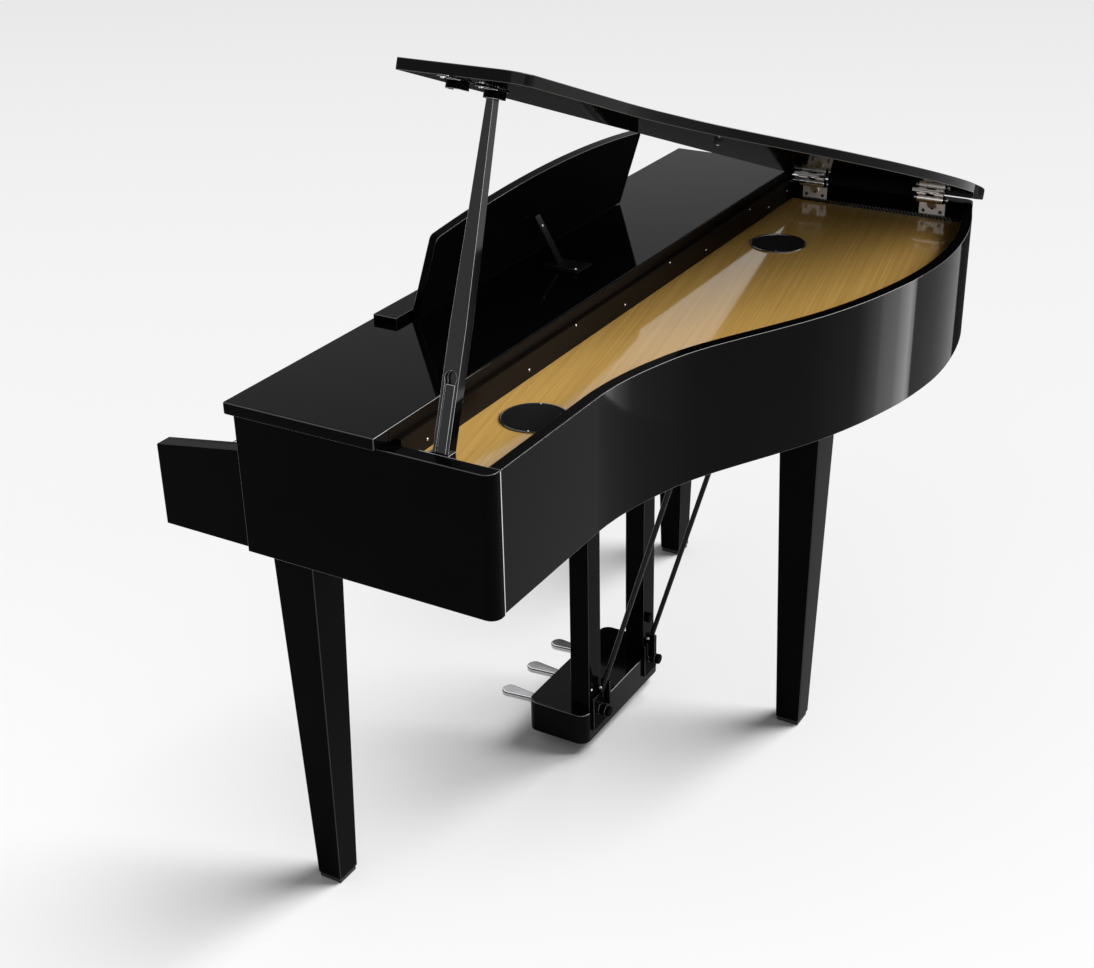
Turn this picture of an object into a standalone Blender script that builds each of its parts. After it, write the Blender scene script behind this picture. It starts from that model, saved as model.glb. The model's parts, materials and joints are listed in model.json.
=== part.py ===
"""Digital grand piano, built as separate pieces in Blender 4.5 (metres, +Z up).

X runs from the bass end to the treble end, the player sits at -Y, the tail is at +Y.
Y is measured from the top board's back edge and SHIFT_Y centres the whole on the origin.
"""
import math

import bmesh
import bpy
from mathutils import Matrix, Vector

# Clearances
GAP = 0.0003
SLIP = 0.0005

# Widths, from the keyboard outwards
KEY_COUNT = 52
KEY_PITCH = 0.0235
BLOCK_IN = KEY_COUNT * KEY_PITCH / 2 + 0.0015
CHEEK_W = 0.0869
BED_HALF = BLOCK_IN + CHEEK_W
ARM_T = 0.0153
ARM_IN = BED_HALF + GAP
SIDE_T = 0.025
SIDE_IN = ARM_IN + ARM_T
HALF_W = SIDE_IN + SIDE_T

# Case
FRONT_Y = -0.2609
CASE_BOTTOM = 0.6676
RIM_TOP = 0.8990
TREBLE_BACK_Y = 0.1845
BASS_BACK_Y = 0.384
EDGE_R = 0.018
SHIFT_Y = -0.0097

# Curved side, outer face: shares of the inner half width, and of the rise from the treble
# corner to the bass corner
RIM_T = 0.020
RIM_RAISE = 0.004
RIM_SHAPE = [(1.0, 0.0025), (0.839, 0.0025), (0.671, 0.0025), (0.587, 0.0075),
             (0.503, 0.0426), (0.420, 0.108), (0.329, 0.208), (0.259, 0.318),
             (0.182, 0.464), (0.097, 0.634), (-0.022, 0.855), (-0.140, 1.025),
             (-0.249, 1.145), (-0.372, 1.246), (-0.524, 1.306), (-0.671, 1.286),
             (-0.825, 1.196), (-1.0, 1.010)]
CURVE_STEPS = 6

# Boards
BOARD_HALF = HALF_W + 0.0105
BOARD_FRONT = FRONT_Y - 0.0096
BOARD_Z0 = RIM_TOP + SLIP
BOARD_T = 0.0205
BOARD_Z1 = BOARD_Z0 + BOARD_T
BOARD_EDGE_R = 0.003
RAIL_Y0, RAIL_Y1 = -0.012, 0.0102
FLOOR_RAISE, FLOOR_T = 0.005, 0.0154
FLOOR_Z0 = CASE_BOTTOM + FLOOR_RAISE
FLOOR_Z1 = FLOOR_Z0 + FLOOR_T
SOUND_DROP, SOUND_T = 0.040, 0.006
SOUND_Z1 = RIM_TOP - SOUND_DROP
SOUND_Z0 = SOUND_Z1 - SOUND_T
TRIM_T, TRIM_H = 0.006, 0.006
TRIM_Y = (0.033, 0.362)

# Speakers
SPEAKERS = {"treble": (SIDE_IN - 0.241, 0.095), "bass": (-(SIDE_IN - 0.2845), 0.100)}
GRILLE_R = 0.0535
GRILLE_T = 0.006
GRILLE_PROUD, GRILLE_CROWN, GRILLE_LIP = 0.0015, 0.0008, 0.003
FLANGE_R, FLANGE_T = 0.060, 0.004
MAGNET_R, MAGNET_H = 0.030, 0.015
SPEAKER_DEPTH, CONE_DEPTH = 0.050, 0.018

# Key arms
ARM_SET_BACK, ARM_OVERLAP = 0.012, 0.004
ARM_OUT = HALF_W - ARM_SET_BACK
ARM_FRONT_TOP = RIM_TOP - 0.093
ARM_BACK_TOP = RIM_TOP - 0.066

# Keys
WHITE_W = 0.0226
KEY_FRONT = -0.4170
PIVOT_Y = -0.2150
SPINE_D = 0.010
KEY_DIP = math.radians(2.8)
BED_FRONT = KEY_FRONT - 0.002
BED_T = 0.0224
BED_TOP = CASE_BOTTOM + BED_T
FRAME_H = 0.037
WHITE_T = 0.021
WHITE_Z0 = BED_TOP + FRAME_H
WHITE_Z1 = WHITE_Z0 + WHITE_T
SHARP_Z0 = WHITE_Z1 + 0.0008
SHARP_Z1 = SHARP_Z0 + 0.0112
SHARP_W = 0.0098
SHARP_SETBACK = 0.050
SHARP_FRONT = KEY_FRONT + SHARP_SETBACK
SHARP_SIDE = 0.0009
NECK_GAP = 0.0015
BALANCE_D, BALANCE_TOP = 0.030, 0.004
SLIP_T = 0.0146
SLIP_Y1 = BED_FRONT - GAP - 0.0001
SLIP_Y0 = SLIP_Y1 - SLIP_T
SLIP_TOP = WHITE_Z1 - 0.010
ARM_FRONT = SLIP_Y0
BLOCK_TOP = WHITE_Z1 + 0.014
BLOCK_BACK = FRONT_Y - 0.0021
BLOCK_MID = -(BLOCK_IN + CHEEK_W / 2)
KNOB_AT = (BLOCK_MID, BED_FRONT + 0.089)
KNOB_R, KNOB_H = 0.011, 0.0075
BUTTON_AT = (BLOCK_MID, BED_FRONT + 0.034)
BUTTON_R, BUTTON_H, BUTTON_UP, BUTTON_TRAVEL = 0.006, 0.0095, 0.003, 0.002
COVER_Y = (FRONT_Y - 0.0011, -0.1000)
COVER_Z0 = BLOCK_TOP + 0.0125
COVER_T, COVER_EDGE_R = 0.010, 0.002
NAME_Y = (FRONT_Y, FRONT_Y + 0.012)
NAME_Z0 = COVER_Z0 + COVER_T + 0.001

# Legs
LEG_TOP_HALF, LEG_FOOT_HALF = 0.039, 0.024
LEG_X = HALF_W - 0.086
LEG_Y = FRONT_Y + 0.0439
LEG_AT = {"treble": (LEG_X, LEG_Y), "bass": (-LEG_X, LEG_Y), "tail": (-0.154, 0.287)}
LEG_EDGE_R = 0.002
CAP_H, CAP_HALF = 0.008, 0.0215

# Lyre
PLATE_HALF, PLATE_Y, PLATE_T = 0.160, (-0.075, 0.0100), 0.012
POST_X, POST_Y = (0.088, 0.133), (-0.047, -0.007)
BOX_HALF, BOX_Y, BOX_Z = 0.155, (-0.132, -0.004), (0.022, 0.088)
BOX_R, BOX_WALL = 0.020, 0.008
PEDAL_X = {"right": 0.096, "middle": 0.0, "left": -0.096}
PEDAL_Z, PEDAL_T = 0.0500, 0.0115
PEDAL_TIP_Y, PEDAL_FLARE_Y = -0.222, -0.158
PEDAL_W, PEDAL_NECK = 0.032, 0.021
PEDAL_END_R = 0.0065
PEDAL_PIVOT_Y = BOX_Y[1] - BOX_WALL - SLIP - PEDAL_END_R
SLOT_DROP, SLOT_SIDE = 0.0100, 0.001
ROD_X, ROD_R = 0.100, 0.005
ROD_LOW, ROD_HIGH = (0.0016, 0.1200), (0.165, FLOOR_Z0 - GAP)
CLAMP_X, CLAMP_T, CLAMP_Z = (-0.020, 0.030), 0.005, (0.045, 0.1165)
TAB_T, TAB_Y, TAB_Z = 0.0035, 0.0165, (0.090, 0.142)
THUMB_X, THUMB_Z, THUMB_R, THUMB_L = 0.004, 0.080, 0.010, 0.013

# Lid and its hinges
LID_AXIS = Vector((-(SIDE_IN - 0.015), 0.0, RIM_TOP + 0.003))
LID_OPEN = math.radians(20.13)
LID_LIFT = 0.0119
LID_T = 0.0162
LID_X = (-(HALF_W - 0.012), HALF_W + 0.0026)
LID_FRONT = 0.0035
LID_LAP, LID_TAIL_LAP, LID_LAP_FROM = 0.008, 0.018, -0.500
LID_CORNER_R, LID_TAIL_R = 0.035, 0.030
HINGE_R = 0.0085
HINGES = {"front": (0.033, 0.085), "rear": (0.280, 0.333)}
LEAF_T = 0.0025
LEAF_Z = (RIM_TOP - 0.0330, RIM_TOP - 0.0085)
LEAF_S = (0.012, 0.046)
LEAF_NECK, LEAF_SIDE = 0.003, 0.0006

# Props
PROP_Y = 0.082
PROP_FOOT = Vector((SIDE_IN - 0.0125, PROP_Y, RIM_TOP - 0.016))
PROP_HEAD_IN = 0.1222
PROP_W0, PROP_W1 = 0.0265, 0.0108
PROP_T0, PROP_T1 = 0.0195, 0.0155
PROP_TAPER_FROM = 0.190
GROOVE_L, GROOVE_W, GROOVE_D, GROOVE_END_R = 0.119, 0.017, 0.0085, 0.010
SHORT_L, SHORT_W, SHORT_T = 0.1095, GROOVE_W - 0.0015, 0.0065
CUP_IN_R, CUP_OUT_R, CUP_ARM, CUP_D = 0.0100, 0.0135, 0.012, 0.0135
CUP_PLATE_X, CUP_PLATE_HALF, CUP_PLATE_T = (-0.030, 0.040), 0.0105, 0.002
CUP_REST = 0.0008
CUP_SHORT_S = 0.095
EAR_GAP, EAR_T, EAR_X, EAR_Z = 0.0004, 0.0035, SIDE_IN - 0.021, (RIM_TOP - 0.027, RIM_TOP - 0.0004)
BRACKET_T, BRACKET_HALF = 0.002, 0.0315

# Music desk
DESK_HINGE = Vector((0.0, -0.197, BOARD_Z1 + 0.0022))
DESK_LEAN = math.radians(17.4)
DESK_HALF, DESK_T = 0.348, 0.014
DESK_END_H, DESK_MID_H, DESK_CORNER_R = 0.150, 0.176, 0.009
LEDGE_HALF, LEDGE_Y, LEDGE_T = 0.382, (-0.262, -0.2165), 0.011
STRUT_X, STRUT_W, STRUT_T = 0.012, 0.016, 0.003
STRUT_UP, STRUT_L = 0.0847, 0.0915
FOOT_Y, FOOT_HALF, FOOT_T = (-0.145, -0.075), 0.028, 0.002
FOOT_REST = 0.0012

# Electronics
MAIN_AT, MAIN_SIZE = (0.22, 0.09), (0.24, 0.12, 0.018)
SUPPLY_AT, SUPPLY_SIZE = (-0.23, 0.09), (0.18, 0.10, 0.045)

for old in list(bpy.data.objects):
    bpy.data.objects.remove(old, do_unlink=True)

LACQUER = ((0.006, 0.006, 0.007), 0.06, 0.0)
FINISHES = {
    "lacquer": LACQUER, "spruce": ((0.55, 0.32, 0.09), 0.12, 0.0),
    "brown": ((0.035, 0.02, 0.012), 0.35, 0.0), "cloth": ((0.012, 0.012, 0.012), 0.85, 0.0),
    "chrome": ((0.75, 0.75, 0.76), 0.12, 1.0), "steel": ((0.5, 0.5, 0.52), 0.3, 1.0),
    "black_metal": ((0.02, 0.02, 0.02), 0.4, 0.0), "white": ((0.82, 0.81, 0.77), 0.2, 0.0),
    "sharp": ((0.01, 0.01, 0.01), 0.35, 0.0), "rubber": ((0.02, 0.02, 0.02), 0.9, 0.0),
    "board": ((0.02, 0.12, 0.05), 0.5, 0.0),
}


# Helpers
def paint(ob, finish):
    rgb, rough, metal = FINISHES[finish]
    mat = bpy.data.materials.new(ob.name + "_finish")
    mat.use_nodes = True
    node = mat.node_tree.nodes["Principled BSDF"]
    node.inputs["Base Color"].default_value = (*rgb, 1.0)
    node.inputs["Roughness"].default_value = rough
    node.inputs["Metallic"].default_value = metal
    ob.data.materials.clear()
    ob.data.materials.append(mat)


def piece(name, bm, finish=None, origin=(0, 0, 0)):
    """Object from a bmesh drawn in the piano's frame, with its origin on a joint's axis."""
    origin = Vector(origin)
    bmesh.ops.recalc_face_normals(bm, faces=bm.faces)
    bmesh.ops.translate(bm, verts=bm.verts, vec=-origin)
    mesh = bpy.data.meshes.new(name)
    bm.to_mesh(mesh)
    bm.free()
    ob = bpy.data.objects.new(name, mesh)
    ob.location = origin + Vector((0, SHIFT_Y, 0))
    bpy.context.scene.collection.objects.link(ob)
    if finish:
        paint(ob, finish)
    return ob


def prism(points, lo, hi, axis="z"):
    """Closed prism from an outline; axis says which way it is drawn out."""
    order = {"z": lambda a, b, c: (a, b, c), "y": lambda a, b, c: (a, c, b),
             "x": lambda a, b, c: (c, a, b)}[axis]
    bm = bmesh.new()
    low = [bm.verts.new(order(a, b, lo)) for a, b in points]
    high = [bm.verts.new(order(a, b, hi)) for a, b in points]
    bm.faces.new(low)
    bm.faces.new(high)
    for i in range(len(points)):
        j = (i + 1) % len(points)
        bm.faces.new((low[i], low[j], high[j], high[i]))
    return bm


def block(xs, ys, zs):
    return prism([(xs[0], ys[0]), (xs[1], ys[0]), (xs[1], ys[1]), (xs[0], ys[1])], *zs)


def ring(cx, cy, radius, n=32, start=0.0, end=math.tau):
    full = abs(end - start - math.tau) < 1e-6
    steps = n if full else n - 1
    return [(cx + radius * math.cos(start + (end - start) * i / steps),
             cy + radius * math.sin(start + (end - start) * i / steps)) for i in range(n)]


def round_box(xs, ys, radius, n=7):
    out = []
    corners = [(xs[1], ys[1], 0), (xs[0], ys[1], 1), (xs[0], ys[0], 2), (xs[1], ys[0], 3)]
    for x, y, k in corners:
        sx = 1 if x == xs[1] else -1
        sy = 1 if y == ys[1] else -1
        a = k * math.pi / 2
        out += ring(x - sx * radius, y - sy * radius, radius, n, a, a + math.pi / 2)
    return out


def lathe(profile, x, y, n=40):
    """Solid of revolution about a vertical axis from (radius, z) pairs, ends on the axis."""
    bm = bmesh.new()
    rings = []
    for r, z in profile:
        if r < 1e-9:
            rings.append([bm.verts.new((x, y, z))])
        else:
            rings.append([bm.verts.new((px, py, z)) for px, py in ring(x, y, r, n)])
    for a, b in zip(rings, rings[1:]):
        for i in range(n):
            j = (i + 1) % n
            if len(a) == 1:
                bm.faces.new((a[0], b[i], b[j]))
            elif len(b) == 1:
                bm.faces.new((a[i], b[0], a[j]))
            else:
                bm.faces.new((a[i], b[i], b[j], a[j]))
    return bm


def tool(name, bm, like):
    ob = piece(name, bm, origin=like.location - Vector((0, SHIFT_Y, 0)))
    ob.rotation_euler = like.rotation_euler
    ob.hide_render = True
    ob.display_type = "WIRE"
    return ob


def boolean(ob, bm, operation):
    """Joins or cuts a drawn solid, kept as a hidden wire object."""
    other = tool("%s_tool_%d" % (ob.name, len(ob.modifiers) + 1), bm, ob)
    mod = ob.modifiers.new(operation.title(), "BOOLEAN")
    mod.operation = operation
    mod.solver = "EXACT"
    mod.object = other


def fuse(ob, bm):
    boolean(ob, bm, "UNION")


def cut(ob, bm):
    boolean(ob, bm, "DIFFERENCE")


def spline(points, steps):
    """Smooth curve through the points (Catmull-Rom)."""
    pts = [Vector(p) for p in points]
    pts = [2 * pts[0] - pts[1]] + pts + [2 * pts[-1] - pts[-2]]
    out = []
    for i in range(1, len(pts) - 2):
        a, b, c, d = pts[i - 1:i + 3]
        for k in range(steps):
            t = k / steps
            out.append(0.5 * (2 * b + (c - a) * t + (2 * a - 5 * b + 4 * c - d) * t * t
                              + (3 * b - a - 3 * c + d) * t ** 3))
    out.append(pts[-2])
    return out


def offset(curve, distance):
    """Curve moved sideways; positive goes out of the piano."""
    out = []
    for i, p in enumerate(curve):
        a, b = curve[max(i - 1, 0)], curve[min(i + 1, len(curve) - 1)]
        t = (b - a).normalized()
        out.append(Vector((p.x + t.y * distance, p.y - t.x * distance)))
    return out


def clip_x(curve, lo, hi):
    """The part of a right-to-left curve between two x values, ends cut exactly there."""
    out = []
    for a, b in zip(curve, curve[1:]):
        for bound in sorted((lo, hi), reverse=True):
            if a.x > bound > b.x:
                t = (a.x - bound) / (a.x - b.x)
                out.append((bound, a.y + (b.y - a.y) * t))
        if lo < b.x < hi:
            out.append((b.x, b.y))
    first = curve[0]
    if lo <= first.x <= hi:
        out.insert(0, (first.x, first.y))
    elif first.x < hi:
        out.insert(0, (hi, first.y))
    if out[-1][0] > lo + 1e-6:
        out.append((lo, out[-1][1]))
    return out


def fillet(before, corner, after, radius, n=6):
    """Arc that rounds the corner between two straight stretches of an outline."""
    before, corner, after = Vector(before), Vector(corner), Vector(after)
    u = (before - corner).normalized()
    v = (after - corner).normalized()
    half = u.angle(v) / 2
    centre = corner + (u + v).normalized() * radius / math.sin(half)
    spokes = [corner + way * radius / math.tan(half) - centre for way in (u, v)]
    first, last = (math.atan2(spoke.y, spoke.x) for spoke in spokes)
    sweep = (last - first + math.pi) % math.tau - math.pi
    return ring(centre.x, centre.y, radius, n, first, first + sweep)


def loft(sections):
    """Bar of rectangles drawn up +Z, each given by its height, width and thickness."""
    bm = bmesh.new()
    rings = [[bm.verts.new((sx * w / 2, sy * t / 2, z))
              for sx, sy in ((-1, -1), (1, -1), (1, 1), (-1, 1))] for z, w, t in sections]
    bm.faces.new(rings[0])
    bm.faces.new(rings[-1])
    for low, high in zip(rings, rings[1:]):
        for i in range(4):
            j = (i + 1) % 4
            bm.faces.new((low[i], low[j], high[j], high[i]))
    return bm


def round_foot(width, thickness, n=6):
    """Sections of a half round end below a bar's pivot."""
    turns = [math.pi / 2 * k / n for k in range(1, n)]
    return [(-thickness / 2 * math.cos(a), width, thickness * math.sin(a)) for a in turns]


RIM_CURVE = [(x * (SIDE_IN - GAP), TREBLE_BACK_Y + rise * (BASS_BACK_Y - TREBLE_BACK_Y))
             for x, rise in RIM_SHAPE]
OUTER = spline(RIM_CURVE, CURVE_STEPS)
INNER = offset(OUTER, -RIM_T)


# Case
def build_case():
    x0, x1 = SIDE_IN, HALF_W
    y1 = TREBLE_BACK_Y
    corner = ring(x1 - EDGE_R, y1 - EDGE_R, EDGE_R, 8, 0.0, math.pi / 2)
    treble = [(x0, FRONT_Y), (x1, FRONT_Y)] + corner + [(x0, y1)]
    piece("treble_side_panel", prism(treble, CASE_BOTTOM, RIM_TOP), "lacquer")
    y1 = BASS_BACK_Y
    corner = ring(x1 - EDGE_R, y1 - EDGE_R, EDGE_R, 8, 0.0, math.pi / 2)
    bass = [(-x, y) for x, y in [(x0, FRONT_Y), (x1, FRONT_Y)] + corner + [(x0, y1)]]
    piece("bass_side_panel", prism(bass, CASE_BOTTOM, RIM_TOP), "lacquer")
    inner = clip_x(INNER, -SIDE_IN + GAP, SIDE_IN - GAP)
    outline = [(p.x, p.y) for p in OUTER] + inner[::-1]
    piece("bentside_panel", prism(outline, CASE_BOTTOM + RIM_RAISE, RIM_TOP), "lacquer")
    top = piece("top_board", block((-BOARD_HALF, BOARD_HALF), (BOARD_FRONT, 0.0),
                                   (BOARD_Z0, BOARD_Z1)), "lacquer")
    edge = top.modifiers.new("Edge", "BEVEL")
    edge.width, edge.segments, edge.limit_method = BOARD_EDGE_R, 2, "ANGLE"
    piece("keybed", block((-BED_HALF, BED_HALF), (BED_FRONT, RAIL_Y1), (CASE_BOTTOM, BED_TOP)),
          "brown")
    well = clip_x(offset(OUTER, -RIM_T - GAP), -SIDE_IN + GAP, SIDE_IN - GAP)
    front = RAIL_Y1 + GAP
    floor = [(-SIDE_IN + GAP, front), (SIDE_IN - GAP, front)] + well
    piece("bottom_board", prism(floor, FLOOR_Z0, FLOOR_Z1), "brown")
    sound = piece("soundboard", prism(floor, SOUND_Z0, SOUND_Z1), "spruce")
    for x, y in SPEAKERS.values():
        cut(sound, prism(ring(x, y, GRILLE_R + GAP, 48), SOUND_Z0 - 0.01, SOUND_Z1 + 0.01))
    piece("inner_rail", block((-BED_HALF, BED_HALF), (RAIL_Y0, RAIL_Y1),
                              (BED_TOP + GAP, BOARD_Z0 - GAP)), "brown")
    piece("bass_trim_strip", block((-SIDE_IN + GAP, -SIDE_IN + GAP + TRIM_T), TRIM_Y,
                                   (SOUND_Z1 + GAP, SOUND_Z1 + GAP + TRIM_H)), "black_metal")


def build_arms():
    rear = [(ARM_FRONT, CASE_BOTTOM), (RAIL_Y1, CASE_BOTTOM), (RAIL_Y1, ARM_BACK_TOP),
            (FRONT_Y, ARM_BACK_TOP), (ARM_FRONT, ARM_FRONT_TOP)]
    front = [(ARM_FRONT, CASE_BOTTOM), (FRONT_Y - GAP, CASE_BOTTOM),
             (FRONT_Y - GAP, ARM_BACK_TOP), (ARM_FRONT, ARM_FRONT_TOP)]
    for name, side in (("treble_key_arm", 1), ("bass_key_arm", -1)):
        a, b = sorted((side * ARM_IN, side * (SIDE_IN - GAP)))
        c, d = sorted((side * (SIDE_IN - ARM_OVERLAP), side * ARM_OUT))
        arm = piece(name, prism(rear, a, b, "x"), "lacquer")
        fuse(arm, prism(front, c, d, "x"))


# Speakers
def build_speakers():
    for name, (x, y) in SPEAKERS.items():
        top = SOUND_Z1 + GRILLE_PROUD
        piece("speaker_grille_" + name,
              lathe([(0, top - GRILLE_T), (GRILLE_R, top - GRILLE_T), (GRILLE_R, top),
                     (GRILLE_R - GRILLE_LIP, top + GRILLE_CROWN), (0, top + GRILLE_CROWN)],
                    x, y, 48), "cloth")
        face = SOUND_Z0 - GAP
        low = face - SPEAKER_DEPTH
        piece("speaker_" + name,
              lathe([(0, low), (MAGNET_R, low), (MAGNET_R, low + MAGNET_H),
                     (GRILLE_R - FLANGE_T, face - FLANGE_T), (FLANGE_R, face - FLANGE_T),
                     (FLANGE_R, face), (GRILLE_R - 1.5 * FLANGE_T, face),
                     (MAGNET_R / 2, face - CONE_DEPTH), (0, face - CONE_DEPTH)], x, y),
              "black_metal")


# Keys
def key_layout():
    """Left and right edges of each white key's rear part, and the sharps' centres."""
    notes = "ab" + "cdefgab" * 7 + "c"
    left0 = -KEY_COUNT * KEY_PITCH / 2
    sharps_after = {"a": 0.15, "c": -0.15, "d": 0.15, "f": -0.2, "g": 0.0}
    sharps = [(i, left0 + KEY_PITCH * (i + 1) + SHARP_W * sharps_after[n])
              for i, n in enumerate(notes[:-1]) if n in sharps_after]
    return left0, dict(sharps)


def white_comb(first, last, left0, sharps):
    """Outline of one run of white keys, joined by a spine at their pivot."""
    half = SHARP_W / 2 + SHARP_SIDE
    side = (KEY_PITCH - WHITE_W) / 2
    neck = SHARP_FRONT - NECK_GAP
    spine = PIVOT_Y - SPINE_D
    pts = []
    for i in range(first, last + 1):
        x0 = left0 + i * KEY_PITCH + side
        x1 = x0 + WHITE_W
        rear0 = sharps[i - 1] + half if (i - 1) in sharps else x0
        rear1 = sharps[i] - half if i in sharps else x1
        if i > first:
            pts.append((rear0, spine))
        else:
            pts.append((rear0, PIVOT_Y))
        if rear0 > x0 + 1e-6:
            pts += [(rear0, neck), (x0, neck)]
        pts += [(x0, KEY_FRONT), (x1, KEY_FRONT)]
        if rear1 < x1 - 1e-6:
            pts += [(x1, neck), (rear1, neck)]
        pts.append((rear1, spine) if i < last else (rear1, PIVOT_Y))
    return pts


def sharp_comb(centres):
    pts = []
    spine = PIVOT_Y - SPINE_D
    for k, x in enumerate(centres):
        a, b = x - SHARP_W / 2, x + SHARP_W / 2
        pts.append((a, spine if k else PIVOT_Y))
        pts += [(a, SHARP_FRONT), (b, SHARP_FRONT)]
        pts.append((b, spine if k < len(centres) - 1 else PIVOT_Y))
    return pts


def build_keys():
    left0, sharps = key_layout()
    axis = (0, PIVOT_Y, WHITE_Z0)
    runs = {"bass": (0, 25), "treble": (26, 51)}
    for name, (first, last) in runs.items():
        piece("white_keys_" + name,
              prism(white_comb(first, last, left0, sharps), WHITE_Z0, WHITE_Z1), "white", axis)
        mine = [x for i, x in sorted(sharps.items()) if first <= i <= last]
        piece("black_keys_" + name, prism(sharp_comb(mine), SHARP_Z0, SHARP_Z1), "sharp",
              (0, PIVOT_Y, SHARP_Z0))
    front, top = PIVOT_Y - BALANCE_D / 2, WHITE_Z0 - GAP
    dip = (BALANCE_D / 2) * math.tan(KEY_DIP) + GAP
    bar = [(front, BED_TOP + GAP), (front + BALANCE_D, BED_TOP + GAP), (front + BALANCE_D, top),
           (PIVOT_Y - BALANCE_TOP, top), (front, top - dip)]
    piece("key_frame", prism(bar, -BLOCK_IN + SLIP, BLOCK_IN - SLIP, "x"), "steel")
    piece("key_slip", block((-BED_HALF, BED_HALF), (SLIP_Y0, SLIP_Y1), (CASE_BOTTOM, SLIP_TOP)),
          "lacquer")
    for name, side in (("treble_cheek_block", 1), ("bass_cheek_block", -1)):
        xs = sorted((side * BLOCK_IN, side * BED_HALF))
        cheek = piece(name, block(xs, (BED_FRONT, BLOCK_BACK), (BED_TOP + GAP, BLOCK_TOP)),
                      "lacquer")
        if side < 0:
            cut(cheek, prism(ring(*BUTTON_AT, BUTTON_R + SLIP, 24),
                             BLOCK_TOP + BUTTON_UP - BUTTON_H - BUTTON_TRAVEL - GAP,
                             BLOCK_TOP + 0.01))
    x, y = KNOB_AT
    base = BLOCK_TOP + GAP
    knob = piece("volume_knob", lathe([(0, base), (KNOB_R, base), (KNOB_R - 0.001, base + KNOB_H),
                                       (0, base + KNOB_H)], x, y, 36), "black_metal", (x, y, base))
    cut(knob, block((x - 0.0008, x + 0.0008), (y - KNOB_R - 0.001, y - 0.003),
                    (base + KNOB_H - 0.001, base + KNOB_H + 0.001)))
    x, y = BUTTON_AT
    base = BLOCK_TOP + BUTTON_UP - BUTTON_H
    piece("power_button", lathe([(0, base), (BUTTON_R, base), (BUTTON_R, base + BUTTON_H),
                                 (0, base + BUTTON_H)], x, y, 24), "black_metal", (x, y, base))
    cover = piece("sliding_key_cover", block((-ARM_IN + SLIP, ARM_IN - SLIP), COVER_Y,
                                             (COVER_Z0, COVER_Z0 + COVER_T)), "lacquer")
    edge = cover.modifiers.new("Edge", "BEVEL")
    edge.width, edge.segments, edge.limit_method = COVER_EDGE_R, 2, "ANGLE"
    piece("name_board", block((-BED_HALF, BED_HALF), NAME_Y, (NAME_Z0, BOARD_Z0 - GAP)),
          "lacquer")


# Legs
def post(x, y, low, high, z0, z1):
    """Square post from its half width at each end."""
    bm = loft([(z0, 2 * low, 2 * low), (z1, 2 * high, 2 * high)])
    bmesh.ops.translate(bm, verts=bm.verts, vec=(x, y, 0))
    return bm


def build_legs():
    for name, (x, y) in LEG_AT.items():
        top = (FLOOR_Z0 if name == "tail" else CASE_BOTTOM) - GAP
        leg = piece("leg_" + name, post(x, y, LEG_FOOT_HALF, LEG_TOP_HALF, CAP_H + GAP, top),
                    "lacquer")
        edge = leg.modifiers.new("Edge", "BEVEL")
        edge.width, edge.segments, edge.limit_method = LEG_EDGE_R, 2, "ANGLE"
        piece("foot_cap_" + name, post(x, y, CAP_HALF, CAP_HALF, 0.0, CAP_H), "rubber")


# Lyre
def pedal_shape(x):
    """Rounded spoon seen from above, wide at the tip and narrow at the slot."""
    tip_r = PEDAL_W / 2
    neck = PEDAL_NECK / 2
    tip = ring(x, PEDAL_TIP_Y + tip_r, tip_r, 13, math.pi, math.tau)
    return [(x + neck, PEDAL_FLARE_Y), (x + neck, PEDAL_PIVOT_Y), (x - neck, PEDAL_PIVOT_Y),
            (x - neck, PEDAL_FLARE_Y)] + tip


def slanted_rod(x, low, high):
    """Round rod between two (y, z) points, with level ends."""
    bm = bmesh.new()
    ends = [[bm.verts.new((px, py, z)) for px, py in ring(x, y, ROD_R, 16)]
            for y, z in (low, high)]
    bm.faces.new(ends[0])
    bm.faces.new(ends[1])
    for i in range(16):
        j = (i + 1) % 16
        bm.faces.new((ends[0][i], ends[0][j], ends[1][j], ends[1][i]))
    return bm


def build_rod(name, side):
    """Brace rod, and the plate, tab and thumb screw that hold its foot to the pedal box."""
    back = BOX_Y[1] + GAP
    plate = sorted(side * (ROD_X + dx) for dx in CLAMP_X)
    clamp = piece("rod_clamp_" + name, block(plate, (back, back + CLAMP_T), CLAMP_Z),
                  "black_metal")
    beside = ROD_X - ROD_R - GAP
    fuse(clamp, block(sorted((side * (beside - TAB_T), side * beside)), (back, TAB_Y), TAB_Z))
    fuse(clamp, prism(ring(side * (ROD_X + THUMB_X), THUMB_Z, THUMB_R, 24),
                      back + CLAMP_T / 2, back + CLAMP_T + THUMB_L, "y"))
    piece("brace_rod_" + name, slanted_rod(side * ROD_X, ROD_LOW, ROD_HIGH), "black_metal")


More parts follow.
